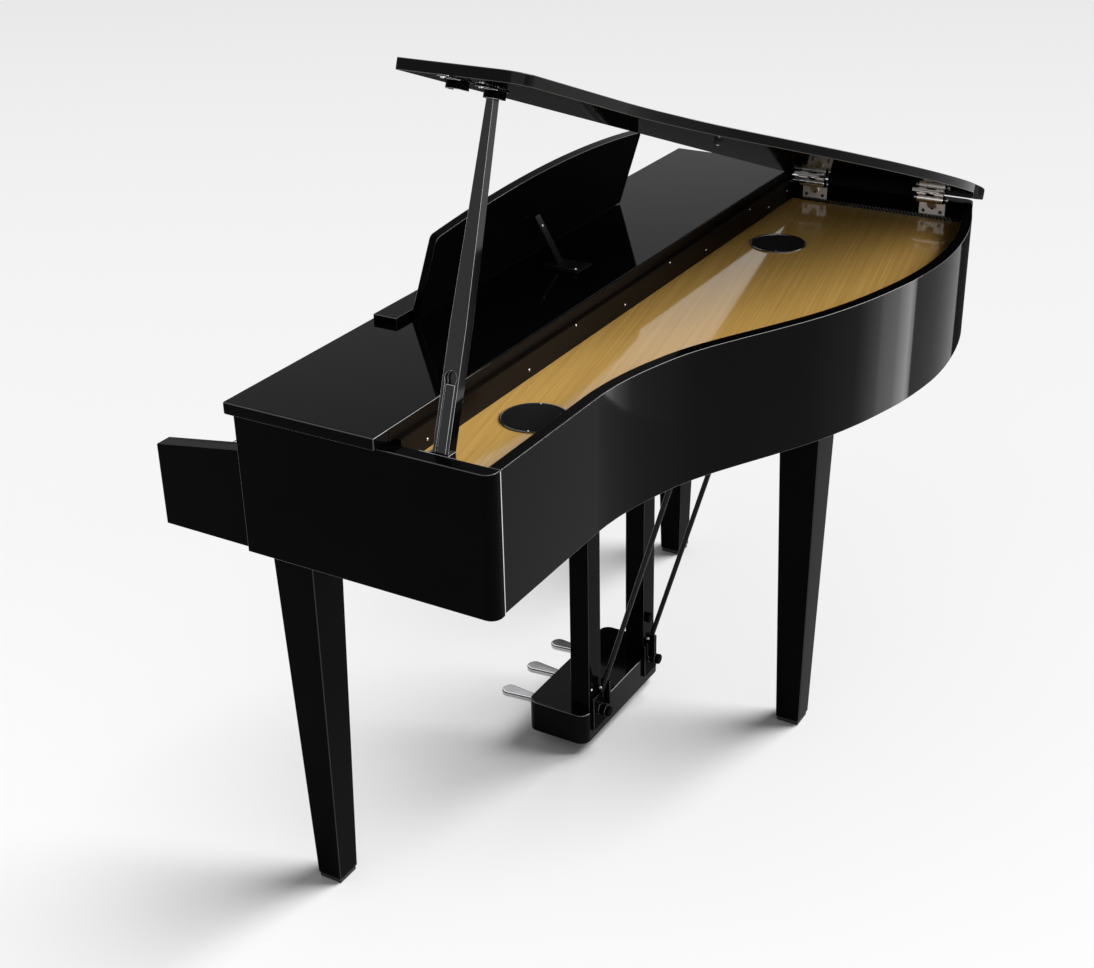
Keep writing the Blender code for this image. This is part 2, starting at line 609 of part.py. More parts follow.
def build_pedal_box():
    box = piece("pedal_box", prism(round_box((-BOX_HALF, BOX_HALF), BOX_Y, BOX_R), *BOX_Z),
                "lacquer")
    cut(box, prism(round_box((-BOX_HALF + BOX_WALL, BOX_HALF - BOX_WALL),
                             (BOX_Y[0] + BOX_WALL, BOX_Y[1] - BOX_WALL), BOX_R - BOX_WALL),
                   BOX_Z[0] - 0.01, BOX_Z[1] - BOX_WALL))
    for name, x in PEDAL_X.items():
        half = PEDAL_NECK / 2 + SLOT_SIDE
        cut(box, block((x - half, x + half), (BOX_Y[0] - 0.01, BOX_Y[0] + 1.5 * BOX_WALL),
                       (PEDAL_Z - PEDAL_T / 2 - SLOT_DROP, PEDAL_Z + PEDAL_T / 2 + SLIP)))
        pedal = piece("pedal_" + name,
                      prism(pedal_shape(x), PEDAL_Z - PEDAL_T / 2, PEDAL_Z + PEDAL_T / 2),
                      "chrome", (x, PEDAL_PIVOT_Y, PEDAL_Z))
        fuse(pedal, prism(ring(PEDAL_PIVOT_Y, PEDAL_Z, PEDAL_END_R, 20),
                          x - PEDAL_NECK / 2 + 0.0002, x + PEDAL_NECK / 2 - 0.0002, "x"))


def build_lyre():
    plate_top = CASE_BOTTOM - GAP
    piece("lyre_top_plate", block((-PLATE_HALF, PLATE_HALF), PLATE_Y,
                                  (plate_top - PLATE_T, plate_top)), "lacquer")
    for name, side in (("treble", 1), ("bass", -1)):
        xs = sorted(side * x for x in POST_X)
        piece("lyre_post_" + name, block(xs, POST_Y, (BOX_Z[1] + GAP, plate_top - PLATE_T - GAP)),
              "lacquer")
        build_rod(name, side)
    build_pedal_box()


# Lid, drawn closed and then turned open about its hinge axis
def open_lid(ob):
    ob.rotation_euler = (0, -LID_OPEN, 0)
    for mod in ob.modifiers:
        if mod.type == "BOOLEAN":
            mod.object.rotation_euler = ob.rotation_euler


def lid_edge():
    """The rim's curve moved out by the lid's lap, which grows towards the tail's corner."""
    edge = []
    for near, far in zip(offset(OUTER, LID_LAP), offset(OUTER, LID_TAIL_LAP)):
        share = (LID_LAP_FROM - near.x) / (LID_LAP_FROM + SIDE_IN)
        edge.append(near.lerp(far, min(max(share, 0.0), 1.0)))
    return edge


def lid_outline():
    lap = lid_edge()
    start = LID_X[1] - LID_CORNER_R
    curve = clip_x([Vector((LID_X[1] + 0.01, lap[0].y))] + lap, LID_X[0] + LID_TAIL_R, start)
    corner = ring(start, lap[0].y - LID_CORNER_R, LID_CORNER_R, 9, 0.0, math.pi / 2)
    (xa, ya), (xb, yb) = curve[-2:]
    tail = (LID_X[0], yb + (LID_X[0] - xb) * (yb - ya) / (xb - xa))
    front = [(LID_X[0], LID_FRONT), (LID_X[1], LID_FRONT)]
    return front + corner[:-1] + curve + fillet(curve[-1], tail, front[0], LID_TAIL_R)


def knuckle(ys):
    return prism(ring(LID_AXIS.x, LID_AXIS.z, HINGE_R, 20), *ys, axis="y")


def build_hinge(name, y0, y1):
    """Rim leaf with the middle knuckle, and lid leaf with the two outer ones."""
    ax, az = LID_AXIS.x, LID_AXIS.z
    third = (y1 - y0) / 3
    mid = (y0 + third + GAP, y1 - third - GAP)
    x0 = -SIDE_IN + GAP
    inset = GAP + 0.0001
    rim = piece("rim_hinge_leaf_" + name, block((x0, x0 + LEAF_T), (y0, y1), LEAF_Z), "chrome")
    fuse(rim, prism([(x0 + inset, LEAF_Z[1] - 0.010), (x0 + LEAF_T - inset, LEAF_Z[1] - 0.012),
                     (ax + HINGE_R / 3, az - HINGE_R / 3), (ax - HINGE_R * 0.7, az + HINGE_R / 3)],
                    *mid, axis="y"))
    fuse(rim, knuckle(mid))
    top = az + LID_LIFT - GAP
    leaf = piece("lid_hinge_leaf_" + name,
                 block((ax + LEAF_S[0], ax + LEAF_S[1]), (y0, y1), (top - LEAF_T, top)),
                 "chrome", LID_AXIS)
    for low, high in ((y0, y0 + third), (y1 - third, y1)):
        fuse(leaf, knuckle((low, high)))
        fuse(leaf, block((ax, ax + LEAF_S[0] + LEAF_NECK), (low + LEAF_SIDE, high - LEAF_SIDE),
                         (top - LEAF_T - LEAF_NECK, top - GAP)))
    open_lid(leaf)


def build_lid():
    z0 = LID_AXIS.z + LID_LIFT
    lid = piece("lid", prism(lid_outline(), z0, z0 + LID_T), "lacquer", LID_AXIS)
    open_lid(lid)
    for name, (y0, y1) in HINGES.items():
        build_hinge(name, y0, y1)


# Props
def lean(origin, head):
    """Frame along a prop: up its length, out of its +X face."""
    along = (head - origin).normalized()
    across = Vector((0, 1, 0))
    out = across.cross(along).normalized()
    return Matrix((across, out, along)).transposed().to_4x4()


def leaning_piece(name, bm, finish, frame, origin):
    bmesh.ops.transform(bm, matrix=Matrix.Translation(origin) @ frame, verts=bm.verts)
    return piece(name, bm, finish, origin)


def prop_head():
    """Where the long prop stands in its cup under the open lid."""
    closed = Vector((LID_X[1] - PROP_HEAD_IN, PROP_Y, LID_AXIS.z + LID_LIFT - GAP
                     - CUP_PLATE_T - CUP_REST))
    return LID_AXIS + Matrix.Rotation(-LID_OPEN, 3, "Y") @ (closed - LID_AXIS)


def build_props():
    head = prop_head()
    frame = lean(PROP_FOOT, head)
    length = (head - PROP_FOOT).length
    taper = (PROP_T1 - PROP_T0) / length
    sections = round_foot(PROP_W0, PROP_T0) + [
        (0.0, PROP_W0, PROP_T0),
        (PROP_TAPER_FROM, PROP_W0, PROP_T0 + taper * PROP_TAPER_FROM),
        (length, PROP_W1, PROP_T1)]
    prop = leaning_piece("long_prop", loft(sections), "lacquer", frame, PROP_FOOT)
    depth = (PROP_T0 / 2 - GROOVE_D, PROP_T0 / 2 + 0.01)
    place = Matrix.Translation(PROP_FOOT) @ frame
    for groove in (block((-GROOVE_W / 2, GROOVE_W / 2), depth, (-PROP_T0, GROOVE_L)),
                   prism(ring(0, GROOVE_L, GROOVE_END_R, 24), *depth, "y")):
        bmesh.ops.transform(groove, matrix=place, verts=groove.verts)
        cut(prop, groove)
    centre = PROP_T0 / 2 - GROOVE_D + SLIP + SHORT_T / 2
    pivot = PROP_FOOT + (frame @ Vector((0, centre, 0)))
    bar = round_foot(SHORT_W, SHORT_T) + [(0.0, SHORT_W, SHORT_T), (SHORT_L, SHORT_W, SHORT_T)]
    leaning_piece("short_prop", loft(bar), "lacquer", frame, pivot)


def build_bracket():
    """Foot bracket of the props: a plate on the side panel with two ears."""
    inner = PROP_W0 / 2 + EAR_GAP
    outer = inner + EAR_T
    x1 = SIDE_IN - GAP
    x0 = x1 - BRACKET_T
    half = [(x1, BRACKET_HALF), (x0, BRACKET_HALF), (x0, outer), (EAR_X, outer),
            (EAR_X, inner), (x0, inner)]
    plan = [(x, PROP_Y + y) for x, y in half] + [(x, PROP_Y - y) for x, y in half[::-1]]
    piece("prop_bracket", prism(plan, *EAR_Z), "chrome")


def build_cups():
    """Horseshoe cups under the lid, open towards the hinges, each on a screwed plate."""
    top = LID_AXIS.z + LID_LIFT - GAP
    y = PROP_Y
    for name, inward in (("long", PROP_HEAD_IN), ("short", PROP_HEAD_IN - CUP_SHORT_S)):
        x = LID_X[1] - inward
        plate = round_box((x + CUP_PLATE_X[0], x + CUP_PLATE_X[1]),
                          (y - CUP_PLATE_HALF, y + CUP_PLATE_HALF), CUP_PLATE_HALF - SLIP)
        cup = piece("prop_cup_" + name, prism(plate, top - CUP_PLATE_T, top), "chrome", LID_AXIS)
        end = x - CUP_ARM
        wall = (ring(x, y, CUP_OUT_R, 11, -math.pi / 2, math.pi / 2)
                + [(end, y + CUP_OUT_R), (end, y + CUP_IN_R)]
                + ring(x, y, CUP_IN_R, 11, math.pi / 2, -math.pi / 2)
                + [(end, y - CUP_IN_R), (end, y - CUP_OUT_R)])
        fuse(cup, prism(wall, top - CUP_D, top - CUP_PLATE_T / 2))
        open_lid(cup)


# Music desk, drawn upright and leant back about its hinge
def desk_outline():
    """Upright board with a bowed top edge and rounded top corners."""
    n = 24
    shares = [1 - 2 * k / n for k in range(n + 1)]
    top = [(DESK_HALF * u, DESK_END_H + (DESK_MID_H - DESK_END_H) * (1 - u * u))
           for u in shares]
    low = [(-DESK_HALF, 0.0), (DESK_HALF, 0.0)]
    right = fillet(low[1], top[0], top[1], DESK_CORNER_R)
    left = fillet(top[-2], top[-1], low[0], DESK_CORNER_R)
    return low + right + top[1:-1] + left


def build_desk():
    hinge = DESK_HINGE
    outline = [(x, z + hinge.z) for x, z in desk_outline()]
    desk = piece("music_desk", prism(outline, hinge.y - DESK_T, hinge.y, "y"), "lacquer", hinge)
    desk.rotation_euler = (-DESK_LEAN, 0, 0)
    piece("desk_ledge", block((-LEDGE_HALF, LEDGE_HALF), LEDGE_Y,
                              (BOARD_Z1 + GAP, BOARD_Z1 + GAP + LEDGE_T)), "lacquer")
    turn = Matrix.Rotation(-DESK_LEAN, 4, "X")
    head = hinge + turn @ Vector((STRUT_X, STRUT_T / 2 + SLIP, STRUT_UP))
    foot_z = BOARD_Z1 + GAP + FOOT_T + FOOT_REST
    drop = head.z - foot_z
    dip = math.asin(drop / STRUT_L)
    bm = loft(round_foot(STRUT_W, STRUT_T)
              + [(0.0, STRUT_W, STRUT_T), (STRUT_L, STRUT_W, STRUT_T)])
    bmesh.ops.transform(bm, matrix=Matrix.Translation(head)
                        @ Matrix.Rotation(-math.pi / 2 - dip, 4, "X"), verts=bm.verts)
    piece("desk_strut", bm, "black_metal", head)
    piece("strut_foot_plate", block((STRUT_X - FOOT_HALF, STRUT_X + FOOT_HALF), FOOT_Y,
                                    (BOARD_Z1 + GAP, BOARD_Z1 + GAP + FOOT_T)), "black_metal")


def build_electronics():
    for name, (x, y), (width, depth, height), finish in (
            ("main_board", MAIN_AT, MAIN_SIZE, "board"),
            ("power_supply", SUPPLY_AT, SUPPLY_SIZE, "steel")):
        piece(name, block((x - width / 2, x + width / 2), (y - depth / 2, y + depth / 2),
                          (FLOOR_Z1 + GAP, FLOOR_Z1 + GAP + height)), finish)


build_case()
build_arms()
build_speakers()
build_keys()
build_legs()
build_lyre()
build_lid()
build_props()
build_bracket()
build_cups()
build_desk()
build_electronics()
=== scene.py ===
# %% [markdown]
# # A compact digital grand piano
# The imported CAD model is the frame: it says where every piece is and how it moves.
# This script gives each piece its finish, adds the small hardware, and sets up a plain
# pale studio seen from the photograph's angle, behind the treble end.
# X runs from bass to treble, the player sits at -Y, and the floor is at zero.

# %% Load the frame
import json
import math

import bmesh
import bpy
from mathutils import Matrix, Vector


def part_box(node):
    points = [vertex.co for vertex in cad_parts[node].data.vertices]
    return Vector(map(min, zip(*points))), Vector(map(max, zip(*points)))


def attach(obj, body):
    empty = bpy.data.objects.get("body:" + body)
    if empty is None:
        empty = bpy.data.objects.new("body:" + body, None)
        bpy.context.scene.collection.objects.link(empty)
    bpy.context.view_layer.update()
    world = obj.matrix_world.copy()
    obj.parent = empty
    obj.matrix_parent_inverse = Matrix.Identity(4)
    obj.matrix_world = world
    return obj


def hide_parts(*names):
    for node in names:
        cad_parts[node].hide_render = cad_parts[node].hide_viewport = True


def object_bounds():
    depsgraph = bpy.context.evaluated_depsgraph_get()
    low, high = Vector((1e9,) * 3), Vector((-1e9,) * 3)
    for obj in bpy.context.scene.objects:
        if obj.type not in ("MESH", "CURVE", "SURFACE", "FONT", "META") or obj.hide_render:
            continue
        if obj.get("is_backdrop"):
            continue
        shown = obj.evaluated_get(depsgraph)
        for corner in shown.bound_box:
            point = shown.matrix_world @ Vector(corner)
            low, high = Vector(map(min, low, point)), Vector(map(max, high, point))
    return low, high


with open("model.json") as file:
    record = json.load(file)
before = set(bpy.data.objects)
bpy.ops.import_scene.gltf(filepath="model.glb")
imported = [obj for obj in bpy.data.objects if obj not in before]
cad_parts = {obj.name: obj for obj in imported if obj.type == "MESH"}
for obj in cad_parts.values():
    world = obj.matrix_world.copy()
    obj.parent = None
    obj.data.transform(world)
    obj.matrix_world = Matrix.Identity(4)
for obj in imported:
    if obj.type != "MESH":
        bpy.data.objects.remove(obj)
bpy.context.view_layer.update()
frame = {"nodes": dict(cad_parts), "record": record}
nodes = frame["nodes"]

# %% [markdown]
# The camera was found by fitting the case's corners in the photograph, so its place,
# its angles and its focal length are measured values. Angles are in degrees: the turn
# round the vertical, the tilt, and a small roll. The sensor is 36 mm across the long side.

# %% Camera
IMAGE_W, IMAGE_H = 1094, 968
FOCAL_PX = 1684.79
TURN, TILT, ROLL = (math.radians(a) for a in (120.82, -26.904, -1.263))
FRAME_SHIFT = Vector((0, -0.0097, 0))
EYE = Vector((2.4413, 1.2877, 1.9155)) + FRAME_SHIFT

ahead = Vector((-math.sin(TURN) * math.cos(TILT), math.cos(TURN) * math.cos(TILT),
                math.sin(TILT)))
level = ahead.cross(Vector((0, 0, 1))).normalized()
upright = level.cross(ahead)
side_way = level * math.cos(ROLL) + upright * math.sin(ROLL)
up_way = upright * math.cos(ROLL) - level * math.sin(ROLL)

lens = bpy.data.cameras.new("photo_camera")
lens.sensor_width = 36.0
lens.sensor_fit = "HORIZONTAL"
lens.lens = FOCAL_PX / IMAGE_W * lens.sensor_width
lens.clip_end = 200.0
camera = bpy.data.objects.new("photo_camera", lens)
turned = Matrix((side_way, up_way, -ahead)).transposed().to_4x4()
camera.matrix_world = Matrix.Translation(EYE) @ turned
bpy.context.scene.collection.objects.link(camera)
bpy.context.scene.camera = camera
print("camera at", [round(v, 3) for v in EYE], "lens", round(lens.lens, 1), "mm")

# %% [markdown]
# Shader maths is easier to read as a formula. `Tone` wraps one socket and turns the
# signs of Python into Math nodes. `Finish` holds one material: its Principled shader,
# and one method that adds any other node.


# %% Shader helpers
class Tone:
    """A number that changes over a surface."""

    def __init__(self, finish, socket):
        self.finish, self.socket = finish, socket

    def _with(self, operation, *others):
        values = {i: getattr(v, "socket", v) for i, v in enumerate((self,) + others)}
        return self.finish.add("ShaderNodeMath", {"operation": operation}, values)

    def _flipped(self, operation, other):
        return self.finish.add("ShaderNodeMath", {"operation": operation},
                               {0: other, 1: self.socket})

    def __add__(self, other):
        return self._with("ADD", other)

    def __sub__(self, other):
        return self._with("SUBTRACT", other)

    def __rsub__(self, other):
        return self._flipped("SUBTRACT", other)

    def __mul__(self, other):
        return self._with("MULTIPLY", other)

    def __pow__(self, other):
        return self._with("POWER", other)

    def step(self, low, high):
        """0 below low, 1 above high, smooth between."""
        node = {"interpolation_type": "SMOOTHSTEP"}
        return self.finish.add("ShaderNodeMapRange", node,
                               {"Value": self.socket, "From Min": low, "From Max": high})

    __radd__ = __add__
    __rmul__ = __mul__


class Finish:
    """One material, with its Principled shader at hand."""

    def __init__(self, name, colour, roughness, metallic=0.0, **settings):
        self.material = bpy.data.materials.new(name)
        self.material.use_nodes = True
        self.tree = self.material.node_tree
        self.shader = self.tree.nodes["Principled BSDF"]
        self.shader.inputs["Base Color"].default_value = (*colour, 1.0)
        self.shader.inputs["Roughness"].default_value = roughness
        self.shader.inputs["Metallic"].default_value = metallic
        for socket, value in settings.items():
            self.shader.inputs[socket.replace("_", " ")].default_value = value
        self.place = self.add("ShaderNodeTexCoord", {}, {}, "Object")

    def add(self, kind, settings, values, output=0):
        """Adds a node: its settings first, then the values or links of its sockets."""
        node = self.tree.nodes.new(kind)
        for key, value in settings.items():
            if key == "stops":
                ramp = node.color_ramp
                while len(ramp.elements) < len(value):
                    ramp.elements.new(0.5)
                for stop, (at, colour) in zip(ramp.elements, value):
                    stop.position = at
                    stop.color = (*colour, 1.0)
            else:
                setattr(node, key, value)
        for key, value in values.items():
            value = getattr(value, "socket", value)
            if isinstance(value, bpy.types.NodeSocket):
                self.tree.links.new(value, node.inputs[key])
            else:
                node.inputs[key].default_value = value
        return Tone(self, node.outputs[output])

    def stretched(self, scale, turn=(0, 0, 0)):
        """Object coordinates, turned and then scaled."""
        turned_place = self.add("ShaderNodeMapping", {"vector_type": "TEXTURE"},
                                {"Vector": self.place, "Rotation": turn})
        return self.add("ShaderNodeMapping", {}, {"Vector": turned_place, "Scale": scale})

    def noise(self, vector, scale=1.0, detail=3.0, rough=0.5):
        return self.add("ShaderNodeTexNoise", {"noise_dimensions": "3D"},
                        {"Vector": vector, "Scale": scale, "Detail": detail,
                         "Roughness": rough})

    def ramp(self, tone, stops):
        return self.add("ShaderNodeValToRGB", {"stops": stops}, {"Fac": tone})

    def blend(self, tone, first, second, way="MIX"):
        """Two colours mixed by a tone."""
        node = self.tree.nodes.new("ShaderNodeMix")
        node.data_type = "RGBA"
        node.blend_type = way
        for key, value in ((0, tone), (6, first), (7, second)):
            value = getattr(value, "socket", value)
            if isinstance(value, bpy.types.NodeSocket):
                self.tree.links.new(value, node.inputs[key])
            elif key == 0:
                node.inputs[key].default_value = value
            else:
                node.inputs[key].default_value = (*value, 1.0)
        return Tone(self, node.outputs[2])

    def feed(self, socket, tone):
        self.tree.links.new(tone.socket, self.shader.inputs[socket])

    def bump(self, height, distance, strength=1.0):
        self.feed("Normal", self.add("ShaderNodeBump", {},
                                     {"Height": height, "Distance": distance,
                                      "Strength": strength}, "Normal"))


finishes = {}

# %% [markdown]
# **Black lacquer.** A polished polyester case is a dim mirror: nearly black, with clear
# reflections where it is seen at a low angle. Several depths of one lacquer are used. The
# narrow tops of the rim are the deepest, then the flat sides, legs, desk and the lid's
# underside. The curved side and the lid's edge are polished brighter, and every rounded
# edge is the brightest, so it draws a thin line of light. Faint waves and haze keep all of them
# from looking like glass.


# %% Lacquer
def black_lacquer(name, mirror):
    """Black lacquer; mirror is its specular level, where 0.5 is a plain clear varnish."""
    coat = Finish(name, (0.0015, 0.0015, 0.0016), 0.05, Specular_IOR_Level=mirror)
    haze = coat.noise(coat.stretched((3.0, 3.0, 3.0)), 2.0, 4.0)
    swirl = coat.noise(coat.stretched((60.0, 60.0, 60.0)), 1.5, 2.0)
    coat.feed("Roughness", 0.03 + haze * 0.04 + swirl.step(0.55, 0.9) * 0.02)
    coat.feed("Base Color", coat.ramp(haze, [(0.3, (0.0013, 0.0013, 0.0014)),
                                             (0.7, (0.0018, 0.0018, 0.0019))]))
    coat.bump(coat.noise(coat.stretched((9.0, 9.0, 9.0)), 1.0, 1.0), 0.00025, 0.5)
    return coat


RIM_MIRROR, DEEP_MIRROR, BROAD_MIRROR, POLISHED_MIRROR = 0.004, 0.014, 0.02, 0.04
LID_MIRROR, PROP_MIRROR, EDGE_MIRROR = 0.07, 0.36, 0.80
finishes["broad"] = black_lacquer("broad_top_lacquer", BROAD_MIRROR)
finishes["lid"] = black_lacquer("lid_lacquer", LID_MIRROR)
finishes["rim"] = black_lacquer("rim_top_lacquer", RIM_MIRROR)
finishes["lacquer"] = black_lacquer("black_lacquer", DEEP_MIRROR)
finishes["polished"] = black_lacquer("polished_lacquer", POLISHED_MIRROR)
finishes["prop"] = black_lacquer("prop_lacquer", PROP_MIRROR)
finishes["edge"] = black_lacquer("lacquer_edges", EDGE_MIRROR)

# %% [markdown]
# **Spruce soundboard.** Straight fine grain runs across the board at a slant, so noise
# is squeezed across the grain and drawn out along it. Broad paler and darker bands show
# where boards are joined, and a clear gloss coat over it all mirrors the backdrop.

# %% Soundboard wood
GRAIN_TURN = (0.0, 0.0, math.radians(11.0))
spruce = Finish("spruce_soundboard", (0.71, 0.43, 0.115), 0.07, Specular_IOR_Level=0.38)
fine = spruce.noise(spruce.stretched((2.2, 230.0, 1.0), GRAIN_TURN), 1.0, 4.0, 0.6)
hair = spruce.noise(spruce.stretched((5.0, 460.0, 1.0), GRAIN_TURN), 1.0, 2.0, 0.5)
band = spruce.noise(spruce.stretched((0.6, 14.0, 1.0), GRAIN_TURN), 1.0, 2.0, 0.5)
ground = spruce.ramp(fine, [(0.28, (0.56, 0.32, 0.082)), (0.50, (0.68, 0.405, 0.108)),
                            (0.72, (0.76, 0.475, 0.138))])
banded = spruce.blend(band.step(0.35, 0.7) * 0.30, ground, (0.60, 0.345, 0.088))
streaked = spruce.blend(hair.step(0.50, 0.68) * 0.38, banded, (0.50, 0.275, 0.070))
spruce.feed("Base Color", streaked)
spruce.feed("Roughness", 0.045 + hair * 0.05)
spruce.bump(hair, 0.00003, 0.4)
finishes["spruce"] = spruce

# %% [markdown]
# **Dark stained board.** The rail behind the top board and the boards underneath are
# plain wood under a thin brown-black stain, so the grain shows a little.

# %% Stained wood
stained = Finish("stained_board", (0.02, 0.012, 0.008), 0.4, Specular_IOR_Level=0.06)
fibre = stained.noise(stained.stretched((4.0, 90.0, 90.0)), 1.0, 4.0, 0.6)
stained.feed("Base Color", stained.ramp(fibre, [(0.3, (0.0022, 0.0015, 0.0010)),
                                                (0.7, (0.0060, 0.0036, 0.0023))]))
stained.feed("Roughness", 0.30 + fibre * 0.25)
stained.bump(fibre, 0.0002, 0.5)
finishes["brown"] = stained

# %% [markdown]
# ** Metals.** Chrome is bright and slightly uneven where it was polished, and the hinge
# screws and the prop bracket have a smoked chrome, which on the pedals is a painted dark
# reflection. The hinge plates are satin nickel, warmer and softer. Satin steel has fine
# brush marks. The black rods and strut are powder coated, with a fine pebble that breaks
# up the shine; the clamps and their knobs get the deepest black lacquer.


# %% Metals
def polished_metal(name, dark, pale, roughness, spread):
    """A metal whose tone and roughness drift a little over the surface."""
    metal = Finish(name, pale, roughness, 1.0)
    smear = metal.noise(metal.stretched((40.0, 40.0, 40.0)), 1.0, 3.0)
    metal.feed("Roughness", roughness + smear * spread)
    metal.feed("Base Color", metal.ramp(smear, [(0.3, dark), (0.7, pale)]))
    return metal


# Bright chrome; on the pedals' lips and on the prop edges that face the player it is a painted
# highlight.
finishes["chrome"] = polished_metal("polished_chrome", (0.74, 0.74, 0.75),
                                    (0.86, 0.86, 0.87), 0.07, 0.12)
# Smoked chrome; on the pedals' lips it is also a painted dark reflection.
finishes["smoked"] = polished_metal("smoked_chrome", (0.040, 0.040, 0.042),
                                    (0.065, 0.065, 0.068), 0.10, 0.15)
# A dimmer chrome; on the pedals' flat tops it is a painted shade, and on the props' edges a
# painted highlight.
finishes["pedal"] = polished_metal("pedal_chrome", (0.38, 0.38, 0.39),
                                   (0.47, 0.47, 0.48), 0.10, 0.10)
finishes["barrel"] = polished_metal("hinge_barrel_chrome", (0.64, 0.64, 0.65),
                                    (0.76, 0.76, 0.77), 0.04, 0.05)
# Dark metal; on the rod clamps' rounded edges it is a painted highlight.
finishes["rib"] = polished_metal("rib_metal", (0.10, 0.10, 0.10),
                                 (0.16, 0.16, 0.16), 0.20, 0.10)
finishes["nickel"] = polished_metal("satin_nickel", (0.74, 0.69, 0.67),
                                    (0.84, 0.79, 0.77), 0.34, 0.16)

steel = Finish("brushed_steel", (0.5, 0.5, 0.52), 0.3, 1.0)
brush = steel.noise(steel.stretched((8.0, 900.0, 900.0)), 1.0, 3.0)
steel.feed("Roughness", 0.24 + brush * 0.2)
steel.feed("Base Color", steel.ramp(brush, [(0.3, (0.42, 0.42, 0.44)),
                                            (0.7, (0.58, 0.58, 0.60))]))
steel.bump(brush, 0.00005, 0.5)
finishes["steel"] = steel

coated = Finish("black_powder_coat", (0.012, 0.012, 0.012), 0.3, Specular_IOR_Level=0.09)
pebble = coated.noise(coated.stretched((1.0, 1.0, 1.0)), 900.0, 2.0)
coated.feed("Roughness", 0.20 + pebble * 0.15)
coated.feed("Base Color", coated.ramp(pebble, [(0.3, (0.0035, 0.0035, 0.0036)),
                                               (0.7, (0.0070, 0.0070, 0.0072))]))
coated.bump(pebble, 0.0001, 0.6)
finishes["black_metal"] = coated

# %% [markdown]
# **Keys.** White keys are glossy, very slightly warm. Black keys are matt with a faint
# grain, as moulded ebony-like tops are.

# %% Keys' finishes
ivory = Finish("white_key_tops", (0.80, 0.79, 0.75), 0.22, Specular_IOR_Level=0.5)
cloud = ivory.noise(ivory.stretched((12.0, 4.0, 12.0)), 1.0, 3.0)
ivory.feed("Base Color", ivory.ramp(cloud, [(0.3, (0.77, 0.76, 0.72)),
                                            (0.7, (0.83, 0.82, 0.785))]))
ivory.feed("Roughness", 0.18 + cloud * 0.1)
finishes["white"] = ivory

ebony = Finish("black_key_tops", (0.008, 0.008, 0.008), 0.4, Specular_IOR_Level=0.4)
vein = ebony.noise(ebony.stretched((500.0, 12.0, 500.0)), 1.0, 3.0)
ebony.feed("Base Color", ebony.ramp(vein, [(0.3, (0.006, 0.006, 0.006)),
                                           (0.7, (0.014, 0.013, 0.012))]))
ebony.feed("Roughness", 0.36 + vein * 0.16)
ebony.bump(vein, 0.00005, 0.6)
finishes["sharp"] = ebony

# %% [markdown]
# **Cloth, rubber and the circuit board.** The speaker cloth is a fine plain weave: two
# waves crossed at right angles. Rubber feet are dull. The board is green with tracks.

# %% Cloth, rubber and board
cloth = Finish("speaker_cloth", (0.01, 0.01, 0.01), 0.85, Specular_IOR_Level=0.05)
THREADS = 4200.0
across = cloth.add("ShaderNodeSeparateXYZ", {}, {"Vector": cloth.place}, "X")
down = cloth.add("ShaderNodeSeparateXYZ", {}, {"Vector": cloth.place}, "Y")
warp = (across * THREADS)._with("SINE")
weft = (down * THREADS)._with("SINE")
weave = warp * weft * 0.5 + 0.5
cloth.feed("Base Color", cloth.ramp(weave, [(0.2, (0.004, 0.004, 0.004)),
                                            (0.8, (0.013, 0.013, 0.013))]))
cloth.bump(weave, 0.0002, 0.6)
finishes["cloth"] = cloth

rubber = Finish("black_rubber", (0.015, 0.015, 0.015), 0.85, Specular_IOR_Level=0.3)
grit = rubber.noise(rubber.stretched((1.0, 1.0, 1.0)), 500.0, 3.0)
rubber.feed("Base Color", rubber.ramp(grit, [(0.3, (0.010, 0.010, 0.010)),
                                             (0.7, (0.022, 0.022, 0.022))]))
rubber.bump(grit, 0.0002, 0.5)
finishes["rubber"] = rubber

circuit = Finish("circuit_board", (0.02, 0.12, 0.05), 0.45)
tracks = circuit.noise(circuit.stretched((120.0, 30.0, 1.0)), 1.0, 1.0)
circuit.feed("Base Color", circuit.blend(tracks.step(0.48, 0.52), (0.012, 0.09, 0.035),
                                         (0.03, 0.16, 0.07)))
circuit.feed("Roughness", 0.4 + tracks * 0.2)
finishes["board"] = circuit

for row in frame["record"]["subparts"]:
    shown = nodes[row["node"]]
    shown.data.materials.clear()
    shown.data.materials.append(finishes[row["material_slot"]].material)
print("finishes:", len(finishes))

# %% [markdown]
# **Rounded edges.** A lacquered board has small rounded edges that catch the light as
# bright lines, and its curves are smooth. The CAD solids are plain triangles, so each
# visible board is copied, its doubles merged, its flat faces joined, and its sharp edges
# bevelled. The copy stands for the CAD piece and moves with its body. The faces that the
# bevel makes get the brighter edge finish.

# %% Rounded copies
body_of_node = {n: b for b, ns in frame["record"]["behaviour"]["bodies"].items() for n in ns}
slot_of_node = {r["node"]: r["material_slot"] for r in frame["record"]["subparts"]}


def settle(name, bm, body, slot, look=None, smooth_angle=35.0):
    """Makes the object of a bmesh, smooth but for its sharp edges, riding on a body."""
    mesh = bpy.data.meshes.new(name)
    bm.to_mesh(mesh)
    bm.free()
    for face in mesh.polygons:
        face.use_smooth = True
    mesh.set_sharp_from_angle(angle=math.radians(smooth_angle))
    piece = bpy.data.objects.new(name, mesh)
    bpy.context.scene.collection.objects.link(piece)
    mesh.materials.append(finishes[look or slot].material)
    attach(piece, body)
    return piece


def keep_flat(piece):
    """Lets big faces set the shading of the bevels beside them."""
    even = piece.modifiers.new("Even shading", "WEIGHTED_NORMAL")
    even.keep_sharp = True
    return piece


